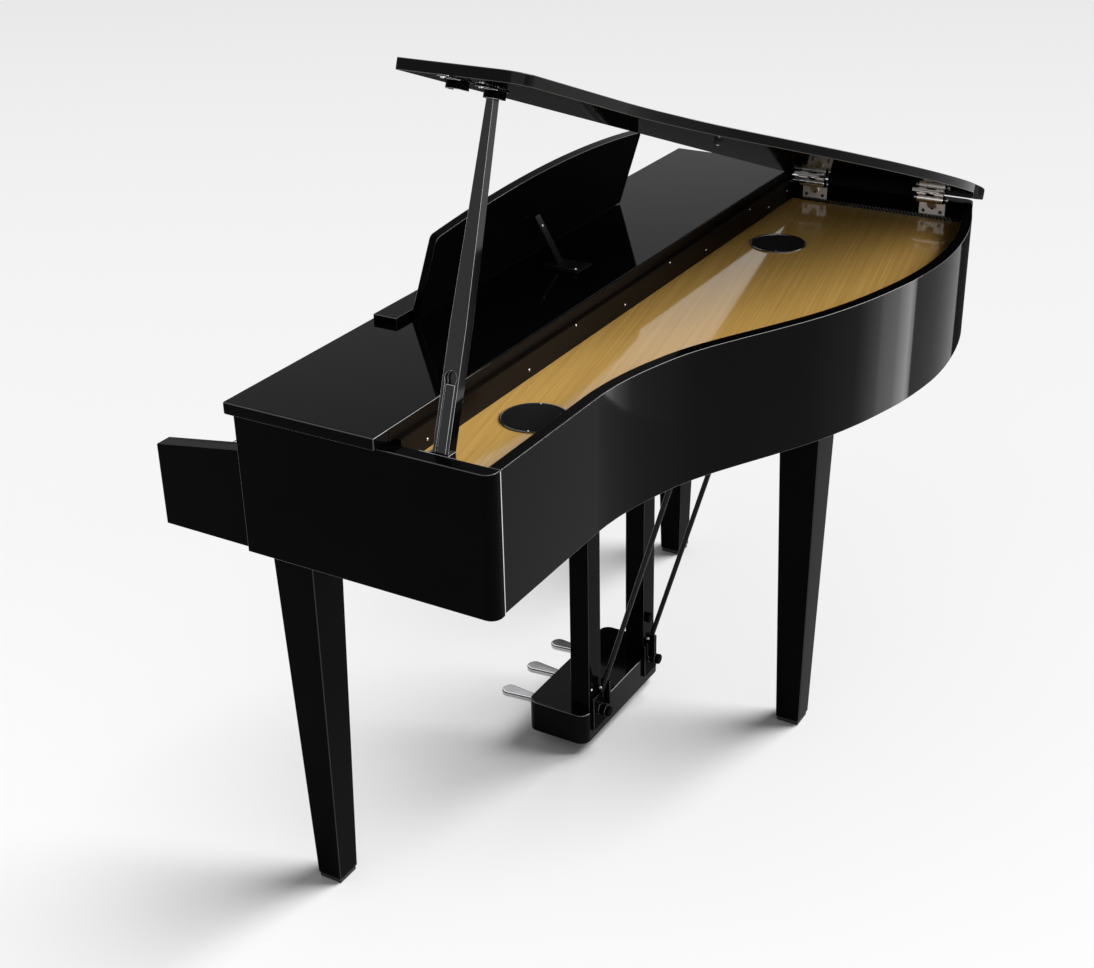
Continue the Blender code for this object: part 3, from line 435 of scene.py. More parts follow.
def rounded(node, radius, segments=3, look=None, lip=None, clamp=True):
    """A copy with rounded edges; look is its finish, and lip that of the edges."""
    bm = bmesh.new()
    bm.from_mesh(nodes[node].data)
    bmesh.ops.remove_doubles(bm, verts=bm.verts, dist=0.00002)
    bmesh.ops.dissolve_limit(bm, angle_limit=math.radians(0.6), verts=bm.verts,
                             edges=bm.edges)
    sharp = [e for e in bm.edges if len(e.link_faces) == 2
             and e.calc_face_angle() > math.radians(30.0)]
    made = bmesh.ops.bevel(bm, geom=sharp, affect="EDGES", offset=radius,
                           segments=segments, profile=0.5, material=-1,
                           clamp_overlap=clamp)["faces"]
    if lip:
        for face in made:
            face.material_index = 1
    piece = settle("finished_" + node, bm, body_of_node[node], slot_of_node[node], look)
    if lip:
        piece.data.materials.append(finishes[lip].material)
    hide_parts(node)
    return keep_flat(piece)


lid_faces = nodes["lid"].data.polygons
LID_UP = max(lid_faces, key=lambda face: face.area * face.normal.z).normal.copy()
BOARD_ROUND, PROP_ROUND, BOX_ROUND = 0.0010, 0.0008, 0.0030
for board in ("treble_side_panel", "bass_side_panel", "treble_key_arm", "bass_key_arm",
              "key_slip", "name_board", "music_desk", "desk_ledge", "treble_cheek_block",
              "bass_cheek_block", "sliding_key_cover"):
    rounded(board, BOARD_ROUND, lip="edge")
for board in ("leg_treble", "leg_bass", "leg_tail", "lyre_post_treble", "lyre_post_bass",
              "lyre_top_plate"):
    rounded(board, BOARD_ROUND, lip="prop")
rounded("top_board", BOARD_ROUND, look="broad", lip="edge")
rounded("bentside_panel", BOARD_ROUND, look="polished", lip="edge")
lid = rounded("lid", BOARD_ROUND, look="lid", lip="edge")


def refinish(piece, direction, look):
    """Gives the faces that look in a direction their own finish."""
    piece.data.materials.append(finishes[look].material)
    last = len(piece.data.materials) - 1
    for face in piece.data.polygons:
        if face.normal.dot(direction) > 0.99:
            face.material_index = last


for way in (-LID_UP, LID_UP):
    refinish(lid, way, "broad")
for board in ("treble_side_panel", "bass_side_panel", "bentside_panel"):
    refinish(bpy.data.objects["finished_" + board], Vector((0, 0, 1)), "rim")
# Each prop's rounded edges are painted highlights: grey chrome, and bright chrome on those that
# face the player.
for prop in ("long_prop", "short_prop"):
    stick = rounded(prop, PROP_ROUND, look="prop", lip="pedal")
    stick.data.materials.append(finishes["chrome"].material)
    for face in stick.data.polygons:
        if face.material_index == 1 and face.normal.y < -0.2:
            face.material_index = 2
rounded("pedal_box", BOX_ROUND, look="polished", lip="edge")
print("rounded boards made; the lid faces", [round(v, 3) for v in LID_UP])

# %% [markdown]
# **Small fittings.** Clamps, cups, bracket, strut and controls get a finer bevel. On a
# hinge leaf the flat plate is nickel with a bright rim, and the knuckle that turns round
# the pin is polished chrome, so its faces are found by their distance from the axis.

# %% Fittings
FITTING_ROUND = 0.0004
for small in ("strut_foot_plate", "desk_strut", "volume_knob", "power_button", "key_frame",
              "power_supply"):
    rounded(small, FITTING_ROUND, 2)
# The rod clamps get the deepest black lacquer, and their rounded edges a grey metal: painted
# highlights.
for small in ("rod_clamp_treble", "rod_clamp_bass"):
    rounded(small, FITTING_ROUND, 2, look="rim", lip="rib")
# The prop cups are chrome, but their bodies get the deepest black lacquer, a painted dark
# reflection; only their rounded edges stay chrome.
for small in ("prop_cup_long", "prop_cup_short"):
    rounded(small, FITTING_ROUND, 2, look="rim", lip="chrome")
rounded("prop_bracket", FITTING_ROUND, 2, look="smoked", lip="pedal")

hinge_row = next(j for j in frame["record"]["behaviour"]["joints"]
                 if j["name"] == "lid_hinge")
LID_AXIS = Vector(hinge_row["pos_m"])
KNUCKLE_R = 0.0085
for part in ("rim_hinge_leaf_front", "rim_hinge_leaf_rear", "lid_hinge_leaf_front",
             "lid_hinge_leaf_rear"):
    leaf = rounded(part, FITTING_ROUND, 2, look="nickel", lip="chrome")
    for face in leaf.data.polygons:
        away = math.hypot(face.center.x - LID_AXIS.x, face.center.z - LID_AXIS.z)
        if away < KNUCKLE_R + 0.0002:
            face.material_index = 1

# %% [markdown]
# ** Pedals.** A piano pedal is a flat spoon of chromed brass with a full rounded lip. A
# generous bevel on the CAD blade gives that lip, and leaves a flat top inside it. The flat
# top gets a dimmer chrome and the lip a bright one: painted shade and painted highlight on
# one chrome. The lip's upper faces are the brightest, and just below them the chrome would
# mirror the dark case, so those faces get the smoked chrome as a painted dark reflection.

# %% Pedals
PEDAL_ROUND = 0.0036
for side in ("left", "middle", "right"):
    pedal = rounded("pedal_" + side, PEDAL_ROUND, 6, look="pedal", lip="chrome",
                    clamp=False)
    # The smoked chrome on the lip's sloping faces is a painted dark reflection of the case.
    pedal.data.materials.append(finishes["smoked"].material)
    for face in pedal.data.polygons:
        if face.material_index == 1 and 0.25 < face.normal.z < 0.80:
            face.material_index = 2

# %% [markdown]
# **White keys.** Each half of the keyboard is one comb in the CAD model. A fine bevel
# gives every key its own lip of light, so that they read as separate keys.

# %% White keys
KEY_ROUND = 0.0007
for half in ("bass", "treble"):
    rounded("white_keys_" + half, KEY_ROUND, 2)

# %% [markdown]
# **Black keys.** A sharp is narrower at the top than at the foot, and its front slopes.
# One box per key is drawn in at the top, then bevelled, and the keys of a half are one
# piece with the bar that joins them at the pivot.

# %% Black keys


def sharp_centres(node):
    """The middle of each tooth at the comb's front."""
    low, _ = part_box(node)
    fronts = sorted({round(v.co.x, 5) for v in nodes[node].data.vertices
                     if v.co.y < low.y + 0.0005})
    return [(a + b) / 2 for a, b in zip(fronts[::2], fronts[1::2])], fronts[1] - fronts[0]


def box_into(bm, low, high):
    """Adds a box to a bmesh and returns its vertices."""
    low, high = Vector(low), Vector(high)
    size = high - low
    place = Matrix.Translation((low + high) / 2) @ Matrix.Diagonal((*size, 1.0))
    return bmesh.ops.create_cube(bm, size=1.0, matrix=place)["verts"]


SHARP_HIGH = 0.0120
SPINE_DEPTH = 0.010
for half in ("bass", "treble"):
    node = "black_keys_" + half
    low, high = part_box(node)
    centres, width = sharp_centres(node)
    bm = bmesh.new()
    for x in centres:
        verts = box_into(bm, (x - width / 2, low.y, low.z),
                         (x + width / 2, high.y - SPINE_DEPTH * 0.5, low.z + SHARP_HIGH))
        for v in verts:
            if v.co.z > low.z + 0.001:
                v.co.x = x + (v.co.x - x) * 0.86
                if v.co.y < low.y + 0.001:
                    v.co.y += 0.006
    edges = [e for e in bm.edges if e.calc_face_angle(0) > 0.5]
    bmesh.ops.bevel(bm, geom=edges, affect="EDGES", offset=0.0011, segments=2,
                    profile=0.5, material=-1, clamp_overlap=True)
    box_into(bm, (low.x, high.y - SPINE_DEPTH, low.z + 0.0005), (high.x, high.y, high.z))
    keys = settle("sharps_" + half, bm, node, "sharp")
    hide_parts(node)
print("sharps:", len(centres), "in the treble half")

# %% [markdown]
# ** Speaker grilles.** Each sound hole holds a black cloth disc in a thin polished ring,
# held by small bright pins. The disc is a shallow dome and the ring a small profile, both
# spun round the centre.

# %% Speaker grilles


def spun(profile, centre, steps=64, name=None, body="case", slot="chrome"):
    """Spins an open or closed profile of (radius, height) round a vertical axis."""
    bm = bmesh.new()
    dots = [bm.verts.new((centre[0] + r, centre[1], z)) for r, z in profile]
    lines = [bm.edges.new(pair) for pair in zip(dots, dots[1:])]
    bmesh.ops.spin(bm, geom=dots + lines, cent=(centre[0], centre[1], 0), axis=(0, 0, 1),
                   angle=math.tau, steps=steps, use_merge=True)
    bmesh.ops.remove_doubles(bm, verts=bm.verts, dist=0.000005)
    bmesh.ops.recalc_face_normals(bm, faces=bm.faces)
    return settle(name, bm, body, slot) if name else bm


def turned_knob(bm, at, direction, profile, steps=20):
    """Spins a (radius, height) profile and sets it on a surface that faces direction."""
    new = bmesh.new()
    dots = [new.verts.new((r, 0, z)) for r, z in profile]
    lines = [new.edges.new(pair) for pair in zip(dots, dots[1:])]
    bmesh.ops.spin(new, geom=dots + lines, cent=(0, 0, 0), axis=(0, 0, 1),
                   angle=math.tau, steps=steps, use_merge=True)
    bmesh.ops.remove_doubles(new, verts=new.verts, dist=0.000005)
    bmesh.ops.recalc_face_normals(new, faces=new.faces)
    turn = Vector((0, 0, 1)).rotation_difference(Vector(direction).normalized())
    bmesh.ops.transform(new, matrix=Matrix.Translation(at) @ turn.to_matrix().to_4x4(),
                        verts=new.verts)
    mesh = bpy.data.meshes.new("turned")
    new.to_mesh(mesh)
    new.free()
    bm.from_mesh(mesh)
    bpy.data.meshes.remove(mesh)


def screw_head(radius, height):
    """Profile of a pan head with a recess in its top."""
    return [(0.0, -0.0004), (radius, -0.0004), (radius, height * 0.45),
            (radius * 0.8, height * 0.85), (radius * 0.45, height),
            (radius * 0.36, height * 0.98), (radius * 0.22, height * 0.45),
            (0.0, height * 0.40)]


PIN_ANGLE = math.radians(19.5)
for side in ("treble", "bass"):
    node = "speaker_grille_" + side
    low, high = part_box(node)
    centre = ((low.x + high.x) / 2, (low.y + high.y) / 2)
    radius = (high.x - low.x) / 2
    disc = spun([(0.0, high.z - 0.0002), (radius * 0.5, high.z - 0.0003),
                 (radius - 0.006, high.z - 0.0009), (radius - 0.003, high.z - 0.0016),
                 (radius - 0.003, low.z), (0.0, low.z)], centre, 64,
                "grille_cloth_" + side, "case", "cloth")
    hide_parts(node)
    ring = spun([(radius - 0.0032, high.z - 0.0018), (radius - 0.0028, high.z),
                 (radius - 0.0014, high.z + 0.0005), (radius - 0.0002, high.z - 0.0002),
                 (radius, high.z - 0.0024), (radius - 0.0032, high.z - 0.0018)], centre,
                72, "grille_ring_" + side, "case", "chrome")
    ring.data.materials[0] = finishes["rib"].material
    bm = bmesh.new()
    for a in (PIN_ANGLE, PIN_ANGLE + math.pi):
        spot = (centre[0] + (radius - 0.0042) * math.cos(a),
                centre[1] + (radius - 0.0042) * math.sin(a), high.z - 0.0012)
        turned_knob(bm, spot, (0, 0, 1), [(0, 0), (0.0018, 0), (0.0016, 0.0014),
                                          (0.0008, 0.0021), (0, 0.0022)], 12)
    settle("grille_pins_" + side, bm, "case", "chrome")

# %% [markdown]
# **Screws.** The rail behind the top board is held by two staggered rows of small screws.
# Each hinge leaf has three, with the middle one nearer the knuckle, and each prop cup has
# two. All are spun profiles, set on the face that holds them.

# %% Screws
rail_low, rail_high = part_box("inner_rail")
RAIL_SCREWS = {0.8955: (0.541, 0.196, -0.148, -0.497), 0.8821: (-0.683,),
               0.8732: (0.635, 0.347, 0.024, -0.300, -0.591)}
bm = bmesh.new()
for z, places in RAIL_SCREWS.items():
    for x in places:
        turned_knob(bm, (x, rail_high.y, z), (0, 1, 0), screw_head(0.0026, 0.0014), 14)
settle("rail_screws", bm, "case", "steel", look="pedal")

LID_OPEN = math.atan2(-LID_UP.x, LID_UP.z)
LID_LIFT = min((v.co - LID_AXIS).dot(LID_UP) for v in nodes["lid"].data.vertices)
print("lid open", round(math.degrees(LID_OPEN), 2), "degrees, underside",
      round(LID_LIFT * 1000, 1), "mm over the axis")


def on_lid(reach, y, under):
    """A point below the open lid: reach from the axis, and how far under the lid."""
    spot = LID_AXIS + facing((reach, 0, LID_LIFT - under), LID_OPEN)
    return Vector((spot.x, y, spot.z))


def facing(vector, tilt):
    """A direction on the open lid, from its direction on the closed one."""
    return Matrix.Rotation(-tilt, 3, "Y") @ Vector(vector)


LEAF_T, TOUCH = 0.0025, 0.0003
SCREW_SIDE = 0.0173
down_from_lid = facing((0, 0, -1), LID_OPEN)
for end in ("front", "rear"):
    low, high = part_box("rim_hinge_leaf_" + end)
    y_mid = (low.y + high.y) / 2
    bm = bmesh.new()
    for dy, z in ((-SCREW_SIDE, 0.8728), (0.0, 0.8800), (SCREW_SIDE, 0.8728)):
        turned_knob(bm, (low.x + LEAF_T, y_mid + dy, z), (1, 0, 0),
                    screw_head(0.0036, 0.0012), 16)
    settle("rim_leaf_screws_" + end, bm, "case", "steel", look="smoked")
    bm = bmesh.new()
    for dy, reach in ((-SCREW_SIDE, 0.036), (0.0, 0.027), (SCREW_SIDE, 0.036)):
        turned_knob(bm, on_lid(reach, y_mid + dy, LEAF_T + TOUCH), down_from_lid,
                    screw_head(0.0036, 0.0012), 16)
    settle("lid_leaf_screws_" + end, bm, "lid", "steel", look="smoked")

CUP_PLATE_T = 0.0020
for cup, s_mid in (("long", 1.3204), ("short", 1.4154)):
    low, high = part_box("prop_cup_" + cup)
    bm = bmesh.new()
    for step in (0.033, -0.024):
        turned_knob(bm, on_lid(s_mid + step, (low.y + high.y) / 2, CUP_PLATE_T + TOUCH),
                    down_from_lid, screw_head(0.0038, 0.0020), 14)
    settle("cup_screws_" + cup, bm, "lid", "chrome")

low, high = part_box("prop_bracket")
bm = bmesh.new()
for y in (low.y + 0.006, high.y - 0.006):
    turned_knob(bm, (high.x - 0.0020, y, 0.8865), (-1, 0, 0), screw_head(0.0028, 0.0014), 14)
settle("bracket_screws", bm, "case", "chrome")
low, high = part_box("long_prop")
bm = bmesh.new()
PROP_PIVOT = Vector((0.7025, 0.0723, 0.883))
turned_knob(bm, (PROP_PIVOT.x, high.y, PROP_PIVOT.z), (0, 1, 0), screw_head(0.0040, 0.0018), 16)
settle("prop_pivot_cap", bm, "long_prop", "chrome")

# %% [markdown]
# **Hinge pins.** The pins show at the ends of the knuckles. The rear one ends in a small
# ball. The front one is longer, and its end is split into a fish tail that stops it from
# working loose: a rod is spun, and two tapered prongs are set on it.

# %% Hinge pins
PIN_R = 0.0021
low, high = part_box("rim_hinge_leaf_rear")
ball = [(0.0, -0.002), (PIN_R, -0.002), (PIN_R, 0.0022), (0.0031, 0.0036),
        (0.0036, 0.0056), (0.0030, 0.0076), (0.0, 0.0088)]
bm = bmesh.new()
turned_knob(bm, (LID_AXIS.x, low.y, LID_AXIS.z), (0, -1, 0), ball, 20)
turned_knob(bm, (LID_AXIS.x, high.y, LID_AXIS.z), (0, 1, 0), ball, 20)
settle("hinge_pin_rear", bm, "case", "chrome")

low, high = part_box("rim_hinge_leaf_front")
TAIL_ROD, PRONG = 0.0165, 0.0085
bm = bmesh.new()
turned_knob(bm, (LID_AXIS.x, low.y, LID_AXIS.z), (0, -1, 0),
            [(0.0, -0.002), (PIN_R, -0.002), (PIN_R, TAIL_ROD), (0.0, TAIL_ROD + 0.001)], 20)
turned_knob(bm, (LID_AXIS.x, high.y, LID_AXIS.z), (0, 1, 0), ball, 20)
for turn in (-1, 1):
    prong = box_into(bm, (-0.0010, -PRONG, -0.0014), (0.0010, 0.0010, 0.0014))
    for v in prong:
        if v.co.y < -0.004:
            v.co.z *= 1.5
    lean = Matrix.Rotation(turn * math.radians(34.0), 4, "X")
    tip = Matrix.Translation((LID_AXIS.x, low.y - TAIL_ROD + 0.001, LID_AXIS.z))
    bmesh.ops.transform(bm, matrix=tip @ lean, verts=prong)
settle("hinge_pin_front", bm, "case", "chrome")

# %% [markdown]
# **Hinge barrels.** A hinge's knuckles are rolled sheet, polished round the pin. A smooth
# sleeve over each knuckle gives that mirror finish: the middle one stays with the rim,
# and the two outer ones turn with the lid.

# %% Hinge barrels
SLEEVE_R, SLEEVE_GAP = KNUCKLE_R + 0.0003, 0.0003


def sleeve(bm, first, last):
    """A closed tube round the hinge axis from first to last along Y."""
    long = last - first
    turned_knob(bm, (LID_AXIS.x, first, LID_AXIS.z), (0, 1, 0),
                [(0.0, 0.0), (SLEEVE_R - 0.0004, 0.0), (SLEEVE_R, 0.0004),
                 (SLEEVE_R, long - 0.0004), (SLEEVE_R - 0.0004, long), (0.0, long)], 40)


for end in ("front", "rear"):
    rolled = [v.co.y for v in nodes["rim_hinge_leaf_" + end].data.vertices
              if math.hypot(v.co.x - LID_AXIS.x, v.co.z - LID_AXIS.z) < KNUCKLE_R + 0.0001]
    low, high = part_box("lid_hinge_leaf_" + end)
    bm = bmesh.new()
    sleeve(bm, min(rolled), max(rolled))
    settle("rim_barrel_" + end, bm, "case", "chrome", look="barrel")
    bm = bmesh.new()
    sleeve(bm, low.y, min(rolled) - SLEEVE_GAP)
    sleeve(bm, max(rolled) + SLEEVE_GAP, high.y)
    settle("lid_barrels_" + end, bm, "lid", "chrome", look="barrel")
    print(end, "barrel:", [round(v, 4) for v in (low.y, min(rolled), max(rolled), high.y)])

# %% [markdown]
# **Clamp knobs.** Each brace rod is held to its post by a clamp with a turned thumb knob,
# and bolted to the clamp's tab. The bass post carries one more knob above its clamp.

# %% Clamp knobs
KNOB = [(0.0, -0.0005), (0.0068, -0.0005), (0.0095, 0.0008), (0.0102, 0.0022),
        (0.0102, 0.0064), (0.0092, 0.0078), (0.0060, 0.0083), (0.0050, 0.0078),
        (0.0, 0.0076)]
CLAMP_X, CLAMP_Z, CLAMP_Y = 0.104, 0.080, 0.0046
BOLT_Y, BOLT_Z = -0.0081, 0.130
for side, sign in (("treble", 1), ("bass", -1)):
    _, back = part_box("lyre_post_" + side)
    rod_low, rod_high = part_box("brace_rod_" + side)
    tab_low, tab_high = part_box("rod_clamp_" + side)
    bm = bmesh.new()
    turned_knob(bm, (sign * CLAMP_X, CLAMP_Y, CLAMP_Z), (0, 1, 0), KNOB, 28)
    if side == "bass":
        turned_knob(bm, (-0.1033, back.y, 0.1705), (0, 1, 0), KNOB, 28)
    settle("clamp_knobs_" + side, bm, "case", "black_metal", look="rim")
    bm = bmesh.new()
    bolt_x = rod_high.x if side == "treble" else -0.0912
    turned_knob(bm, (bolt_x, BOLT_Y, BOLT_Z), (1, 0, 0), screw_head(0.0036, 0.0020), 14)
    if side == "treble":
        turned_knob(bm, (0.124, back.y, 0.132), (0, 1, 0), screw_head(0.0030, 0.0014), 14)
    settle("clamp_screws_" + side, bm, "case", "steel")

# %% [markdown]
# **Lid bumper.** A small rubber button under the lid keeps it off the rim when it is
# shut. It sits near the middle of the lid's straight edge.

# %% Lid bumper
bm = bmesh.new()
turned_knob(bm, on_lid(0.791, 0.175, 0.0), down_from_lid,
            [(0.0, -0.0005), (0.0075, -0.0005), (0.0070, 0.0050), (0.0055, 0.0062),
             (0.0, 0.0064)], 20)
settle("lid_bumper", bm, "lid", "rubber")
bm = bmesh.new()
turned_knob(bm, on_lid(0.791, 0.175, 0.0060), down_from_lid, screw_head(0.0030, 0.0014), 14)
settle("lid_bumper_screw", bm, "lid", "chrome")

# %% [markdown]
# **Desk strut.** The plate that the strut stands on has a raised bar along its treble
# edge with one bright screw, and the strut has a small screw near its top. That screw's
# place is moved square onto the plane of the strut's broad back face.

# %% Strut screws
plate_low, plate_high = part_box("strut_foot_plate")
BAR_W, BAR_H = 0.0065, 0.0050
bm = bmesh.new()
box_into(bm, (plate_high.x - BAR_W, plate_low.y, plate_high.z),
         (plate_high.x, plate_high.y, plate_high.z + BAR_H))
bmesh.ops.bevel(bm, geom=bm.edges[:], affect="EDGES", offset=0.0006, segments=2,
                profile=0.5, material=-1, clamp_overlap=True)
settle("strut_plate_bar", bm, "case", "black_metal")
bm = bmesh.new()
turned_knob(bm, (plate_high.x - BAR_W / 2, plate_high.y - 0.005, plate_high.z + BAR_H),
            (0, 0, 1), screw_head(0.0026, 0.0014), 14)
settle("strut_plate_screw", bm, "case", "chrome")
back_face = max(nodes["desk_strut"].data.polygons, key=lambda f: f.area * f.normal.y)
near_top = Vector((0.012, -0.158, 0.993))
off = (near_top - back_face.center).dot(back_face.normal)
bm = bmesh.new()
turned_knob(bm, near_top - back_face.normal * off, back_face.normal,
            screw_head(0.0024, 0.0012), 14)
settle("strut_screw", bm, "desk_strut", "steel")

# %% [markdown]
# ** Top board's back face.** A thin brown lip covers the edge of the top board that faces
# the soundboard, the colour of the rail below.

# %% Brown lip
LIP_T = 0.0005
board_low, board_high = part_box("top_board")
bm = bmesh.new()
box_into(bm, (-0.7142, board_high.y, board_low.z + 0.0008),
         (0.7142, board_high.y + LIP_T, board_high.z - 0.0012))
settle("top_board_back_lip", bm, "case", "brown")

# %% [markdown]
# **Trim strip.** A strip with slanted ribs runs along the bass wall at the soundboard.
# One thin fin, sheared so that its top leans to the player, is repeated along it.

# %% Trim strip ribs
low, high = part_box("bass_trim_strip")
FIN_PITCH, FIN_T, FIN_H, FIN_LEAN = 0.0075, 0.0026, 0.0080, 0.0070
fin_count = int((high.y - low.y - FIN_LEAN) / FIN_PITCH)
bm = bmesh.new()
for k in range(fin_count):
    y = low.y + FIN_LEAN + FIN_PITCH * k
    fin = box_into(bm, (low.x, y, low.z), (high.x + 0.0008, y + FIN_T, low.z + FIN_H))
    for v in fin:
        if v.co.z > low.z + FIN_H / 2:
            v.co.y -= FIN_LEAN
settle("trim_ribs", bm, "case", "black_metal", look="rib")
print("ribs:", fin_count)

# %% [markdown]
# ** Joints of the case.** Where the curved side meets the rounded corner, a slim chrome
# strip draws the thin line of light on that edge: a painted highlight. A strip of black
# cloth hangs under the lid between the hinges, just inside the bass rim, and fills the open
# gap: a dark sheet that stands for the shade there. It turns with the lid, and its top
# slants as the lid's underside does.

# %% Corner highlight strip and gap shade
HIGHLIGHT_W, HIGHLIGHT_D = 0.0016, 0.0011
_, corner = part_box("treble_side_panel")
foot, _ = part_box("bentside_panel")
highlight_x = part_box("bentside_panel")[1].x
bm = bmesh.new()
box_into(bm, (highlight_x + 0.0004, corner.y, foot.z), (highlight_x + 0.0004 + HIGHLIGHT_W,
                                                 corner.y + HIGHLIGHT_D, corner.z - 0.0012))
bmesh.ops.bevel(bm, geom=bm.edges[:], affect="EDGES", offset=0.0004, segments=2,
                profile=0.5, material=-1, clamp_overlap=True)
settle("corner_bead", bm, "case", "lacquer", look="chrome")
# The black cloth strip below fills the open gap under the lid: a dark sheet that stands for the
# shade there.
_, front_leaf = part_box("rim_hinge_leaf_front")
rear_leaf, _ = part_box("rim_hinge_leaf_rear")
rim_low, rim_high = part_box("bass_side_panel")
GAP_SHADE_W, GAP_SHADE_IN, GAP_SHADE_DOWN = 0.0040, 0.0010, 0.0008


def underside(x):
    """How high the lid's underside is at x, with the lid on its long prop."""
    return (LID_AXIS.z + LID_LIFT / math.cos(LID_OPEN)
            - (LID_AXIS.x - x) * math.tan(LID_OPEN))


bm = bmesh.new()
gap_shade = box_into(bm, (rim_high.x + GAP_SHADE_IN, front_leaf.y + 0.002, rim_high.z - GAP_SHADE_DOWN),
                (rim_high.x + GAP_SHADE_IN + GAP_SHADE_W, rear_leaf.y - 0.002, rim_high.z + 0.002))
for v in gap_shade:
    if v.co.z > rim_high.z:
        v.co.z = underside(v.co.x)
print("felt over the rim:", sorted({round((v.co.z - rim_high.z) * 1000, 2) for v in gap_shade}),
      "mm; rim's edge", round((LID_AXIS.x - rim_high.x) * 1000, 1), "mm from the axis")
bmesh.ops.bevel(bm, geom=bm.edges[:], affect="EDGES", offset=0.0004, segments=2,
                profile=0.5, material=-1, clamp_overlap=True)
settle("lid_felt", bm, "lid", "cloth")

# %% [markdown]
# **Studio.** The photograph's backdrop is one pale sweep, whitest near the camera and a
# little darker far away. A large floor stands for it, and its own colour fades with
# distance, so that no lamp has to do it. Beyond what the photograph shows it turns white
# again, so that lower views have no hard horizon.

# %% Floor
FLOOR_SIZE = 60.0
bm = bmesh.new()
bmesh.ops.create_grid(bm, x_segments=1, y_segments=1, size=FLOOR_SIZE / 2)
floor_mesh = bpy.data.meshes.new("studio_floor")
bm.to_mesh(floor_mesh)
bm.free()
floor = bpy.data.objects.new("studio_floor", floor_mesh)
floor.location.z = -0.0006
bpy.context.scene.collection.objects.link(floor)
floor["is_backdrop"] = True

sweep = Finish("studio_sweep", (0.9, 0.9, 0.9), 0.9, Specular_IOR_Level=0.0)
flat_ahead = Vector((ahead.x, ahead.y, 0)).normalized()
far = sweep.add("ShaderNodeVectorMath", {"operation": "DOT_PRODUCT"},
                {0: sweep.place, 1: flat_ahead}, "Value")
FADE_FROM, FADE_LENGTH = -1.0, 17.0
faded = (far - FADE_FROM) * (1 / FADE_LENGTH)
sweep.feed("Base Color", sweep.ramp(faded, [(0.0, (0.95, 0.95, 0.95)),
                                            (0.11, (0.86, 0.86, 0.86)),
                                            (0.50, (0.745, 0.745, 0.745)),
                                            (1.0, (0.92, 0.92, 0.92))]))
floor_mesh.materials.append(sweep.material)

# %% [markdown]
# **Light.** The air itself gives an even light, and is pure white to the eye and to
# mirrors, as the sweep is. A broad sun from the right lights the floor under the case,
# and only legs and lyre stop it, so soft shadows fall to the left of them. A second one
# lights the piano itself and leaves the bass end of the soundboard in the lid's shade,
# a weak one behind the tail fills that shade, and one on the player's side is for the
# keyboard. Light linking says what each reaches.

# %% Light
world = bpy.data.worlds.new("studio_air")
bpy.context.scene.world = world
world.use_nodes = True
air = world.node_tree
AIR_ON_OBJECTS = 0.28
path = air.nodes.new("ShaderNodeLightPath")
seen = path.outputs["Is Camera Ray"]
for ray in ("Is Glossy Ray", "Is Transmission Ray"):
    either = air.nodes.new("ShaderNodeMath")
    either.operation = "MAXIMUM"
    air.links.new(seen, either.inputs[0])
    air.links.new(path.outputs[ray], either.inputs[1])
    seen = either.outputs[0]
level = air.nodes.new("ShaderNodeMapRange")
level.inputs["To Min"].default_value = AIR_ON_OBJECTS
level.inputs["To Max"].default_value = 1.0
air.links.new(seen, level.inputs["Value"])
air.links.new(level.outputs["Result"], air.nodes["Background"].inputs["Strength"])
air.nodes["Background"].inputs["Color"].default_value = (1.0, 1.0, 1.0, 1.0)

RIGHT_SIDE = Vector((-0.512, 0.859, 0))
SHADOW_SIDE = Vector((-0.75, 0.661, 0))
PLAYER_SIDE = Vector((0.25, -0.968, 0))
TAIL_SIDE = Vector((0.45, 0.893, 0))


def sun(name, side, elevation, width, strength):
    """A distant lamp on a side; width is how wide it looks, in degrees."""
    data = bpy.data.lights.new(name, "SUN")
    data.energy = strength
    data.angle = math.radians(width)
    ob = bpy.data.objects.new(name, data)
    rise = math.radians(elevation)
    toward = side * math.cos(rise) + Vector((0, 0, math.sin(rise)))
    ob.rotation_euler = toward.to_track_quat("Z", "Y").to_euler()
    bpy.context.scene.collection.objects.link(ob)
    return ob


def named_group(name, members, state="INCLUDE"):
    """A collection that light linking reads."""
    group = bpy.data.collections.new(name)
    for member in members:
        group.objects.link(member)
    for row in group.collection_objects:
        row.light_linking.link_state = state
    return group


low_sun = sun("floor_sun", SHADOW_SIDE, 52.0, 36.0, 3.22)
low_sun.light_linking.receiver_collection = named_group("the_floor", [floor])
standing = [ob for ob in bpy.data.objects if ob.type == "MESH"
            and any(word in ob.name for word in ("leg_", "foot_cap", "lyre", "pedal_box",
                                                 "brace_rod", "clamp"))]
low_sun.light_linking.blocker_collection = named_group("legs_and_lyre", standing)
not_the_floor = named_group("not_the_floor", [floor], "EXCLUDE")
for lamp in (sun("key_sun", RIGHT_SIDE, 30.0, 50.0, 3.7),
             sun("fill_sun", TAIL_SIDE, 18.0, 60.0, 1.4)):
    lamp.light_linking.receiver_collection = not_the_floor
keyboard = [ob for ob in bpy.data.objects if ob.type == "MESH"
            and any(word in ob.name for word in ("keys_", "sharps", "key_slip", "cheek",
                                                 "name_board", "volume", "power_button"))]
key_lamp = sun("keyboard_sun", PLAYER_SIDE, 42.0, 50.0, 1.9)
key_lamp.light_linking.receiver_collection = named_group("the_keyboard", keyboard)

# %% [markdown]
# **Strip light.** The bright upright band on the curved side near the tail is the
# mirror image of a low strip light to the right. It grows stronger along its length and
# stops soon after, so the band is soft on one side and crisp on the other, and where it
# is weak the pale room shows through it. Only the curved side mirrors it. A grey card
# beside the bass end does the opposite: the lid's underside, seen at a very low angle,
# would mirror the white room there, and mirrors the card.

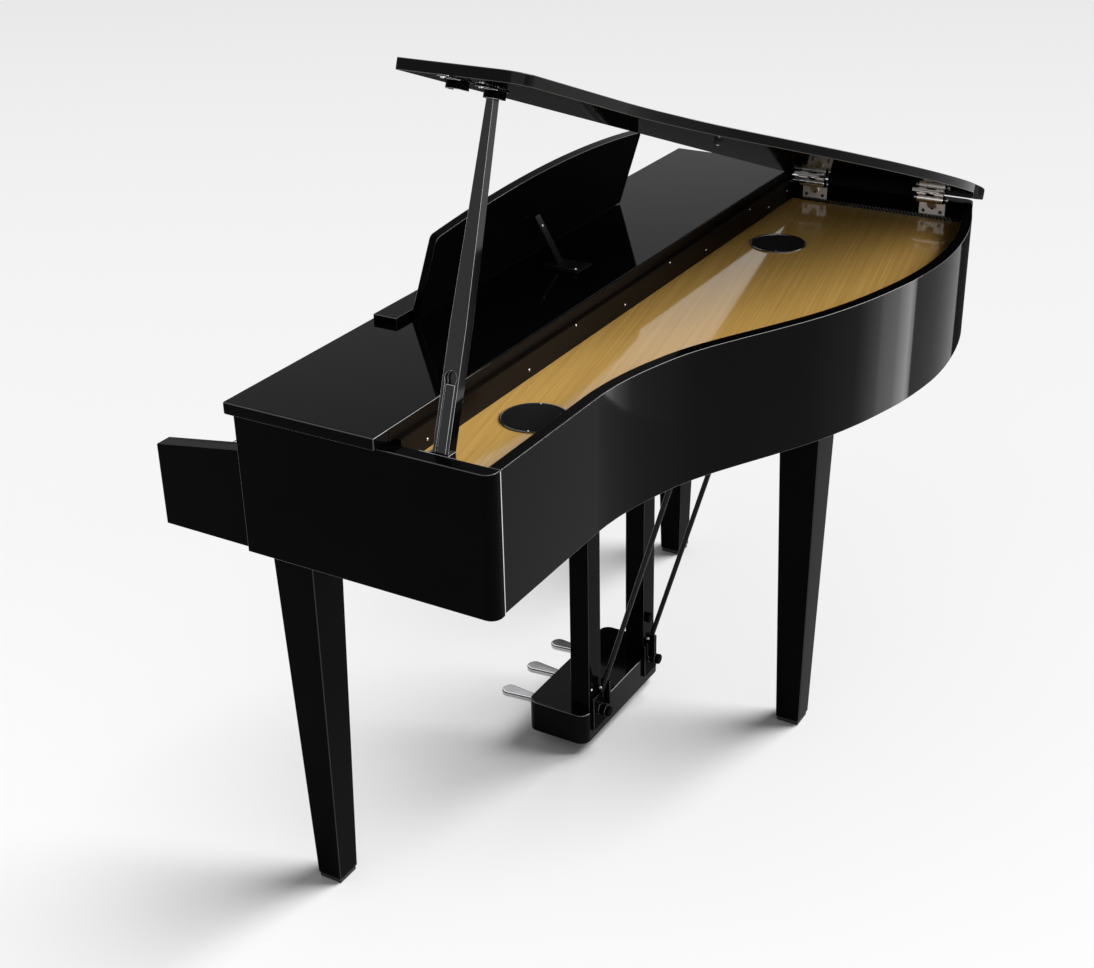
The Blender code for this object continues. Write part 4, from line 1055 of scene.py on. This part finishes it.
# %% Strip light
STRIP_DIM = Vector((-0.352, 1.584, 0.30))
STRIP_BRIGHT = Vector((-1.22, 1.15, 0.30))
STRIP_HIGH = 0.40
along_strip = STRIP_BRIGHT - STRIP_DIM
glow = Finish("strip_light", (0.0, 0.0, 0.0), 1.0, Specular_IOR_Level=0.0,
              Emission_Strength=11.0)
reach = glow.add("ShaderNodeVectorMath", {"operation": "DOT_PRODUCT"},
                 {0: glow.place, 1: along_strip / along_strip.length_squared}, "Value")
start = STRIP_DIM.dot(along_strip) / along_strip.length_squared
glow.feed("Alpha", glow.ramp(reach - start, [(0.0, (0.0, 0.0, 0.0)),
                                             (0.42, (0.03, 0.03, 0.03)),
                                             (0.64, (0.27, 0.27, 0.27)),
                                             (0.80, (0.75, 0.75, 0.75)),
                                             (0.92, (1.0, 1.0, 1.0)),
                                             (1.0, (0.35, 0.35, 0.35))]))
CARD_TONE = 0.035
card_look = Finish("grey_card", (0.0, 0.0, 0.0), 1.0, Specular_IOR_Level=0.0,
                   Emission_Strength=CARD_TONE)


def upright_card(name, first, last, high, look):
    """A standing sheet from first to last that only mirrors see."""
    run = last - first
    bm = bmesh.new()
    corners = bmesh.ops.create_grid(bm, x_segments=1, y_segments=1, size=0.5)["verts"]
    sheet = Matrix((run, (0, 0, high), (0, 0, 0))).transposed()
    bmesh.ops.transform(bm, matrix=Matrix.Translation((first + last) / 2)
                        @ sheet.to_4x4(), verts=corners)
    mesh = bpy.data.meshes.new(name)
    bm.to_mesh(mesh)
    bm.free()
    mesh.materials.append(look.material)
    card = bpy.data.objects.new(name, mesh)
    bpy.context.scene.collection.objects.link(card)
    card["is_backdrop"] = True
    for sight in ("camera", "diffuse", "transmission", "volume_scatter", "shadow"):
        setattr(card, "visible_" + sight, False)
    return card


strip = upright_card("strip_light", STRIP_DIM, STRIP_BRIGHT, STRIP_HIGH, glow)
curved_side = bpy.data.objects["finished_bentside_panel"]
strip.light_linking.receiver_collection = named_group("curved_side", [curved_side])
CARD_HIGH = 1.0
upright_card("grey_card", Vector((-1.25, -2.4, CARD_HIGH / 2)),
             Vector((-1.25, 0.5, CARD_HIGH / 2)), CARD_HIGH, card_look)

scene = bpy.context.scene
scene.view_settings.view_transform = "Standard"

# %% Finish
low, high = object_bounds()
print("finished size:", [round(v, 3) for v in high - low], "m")
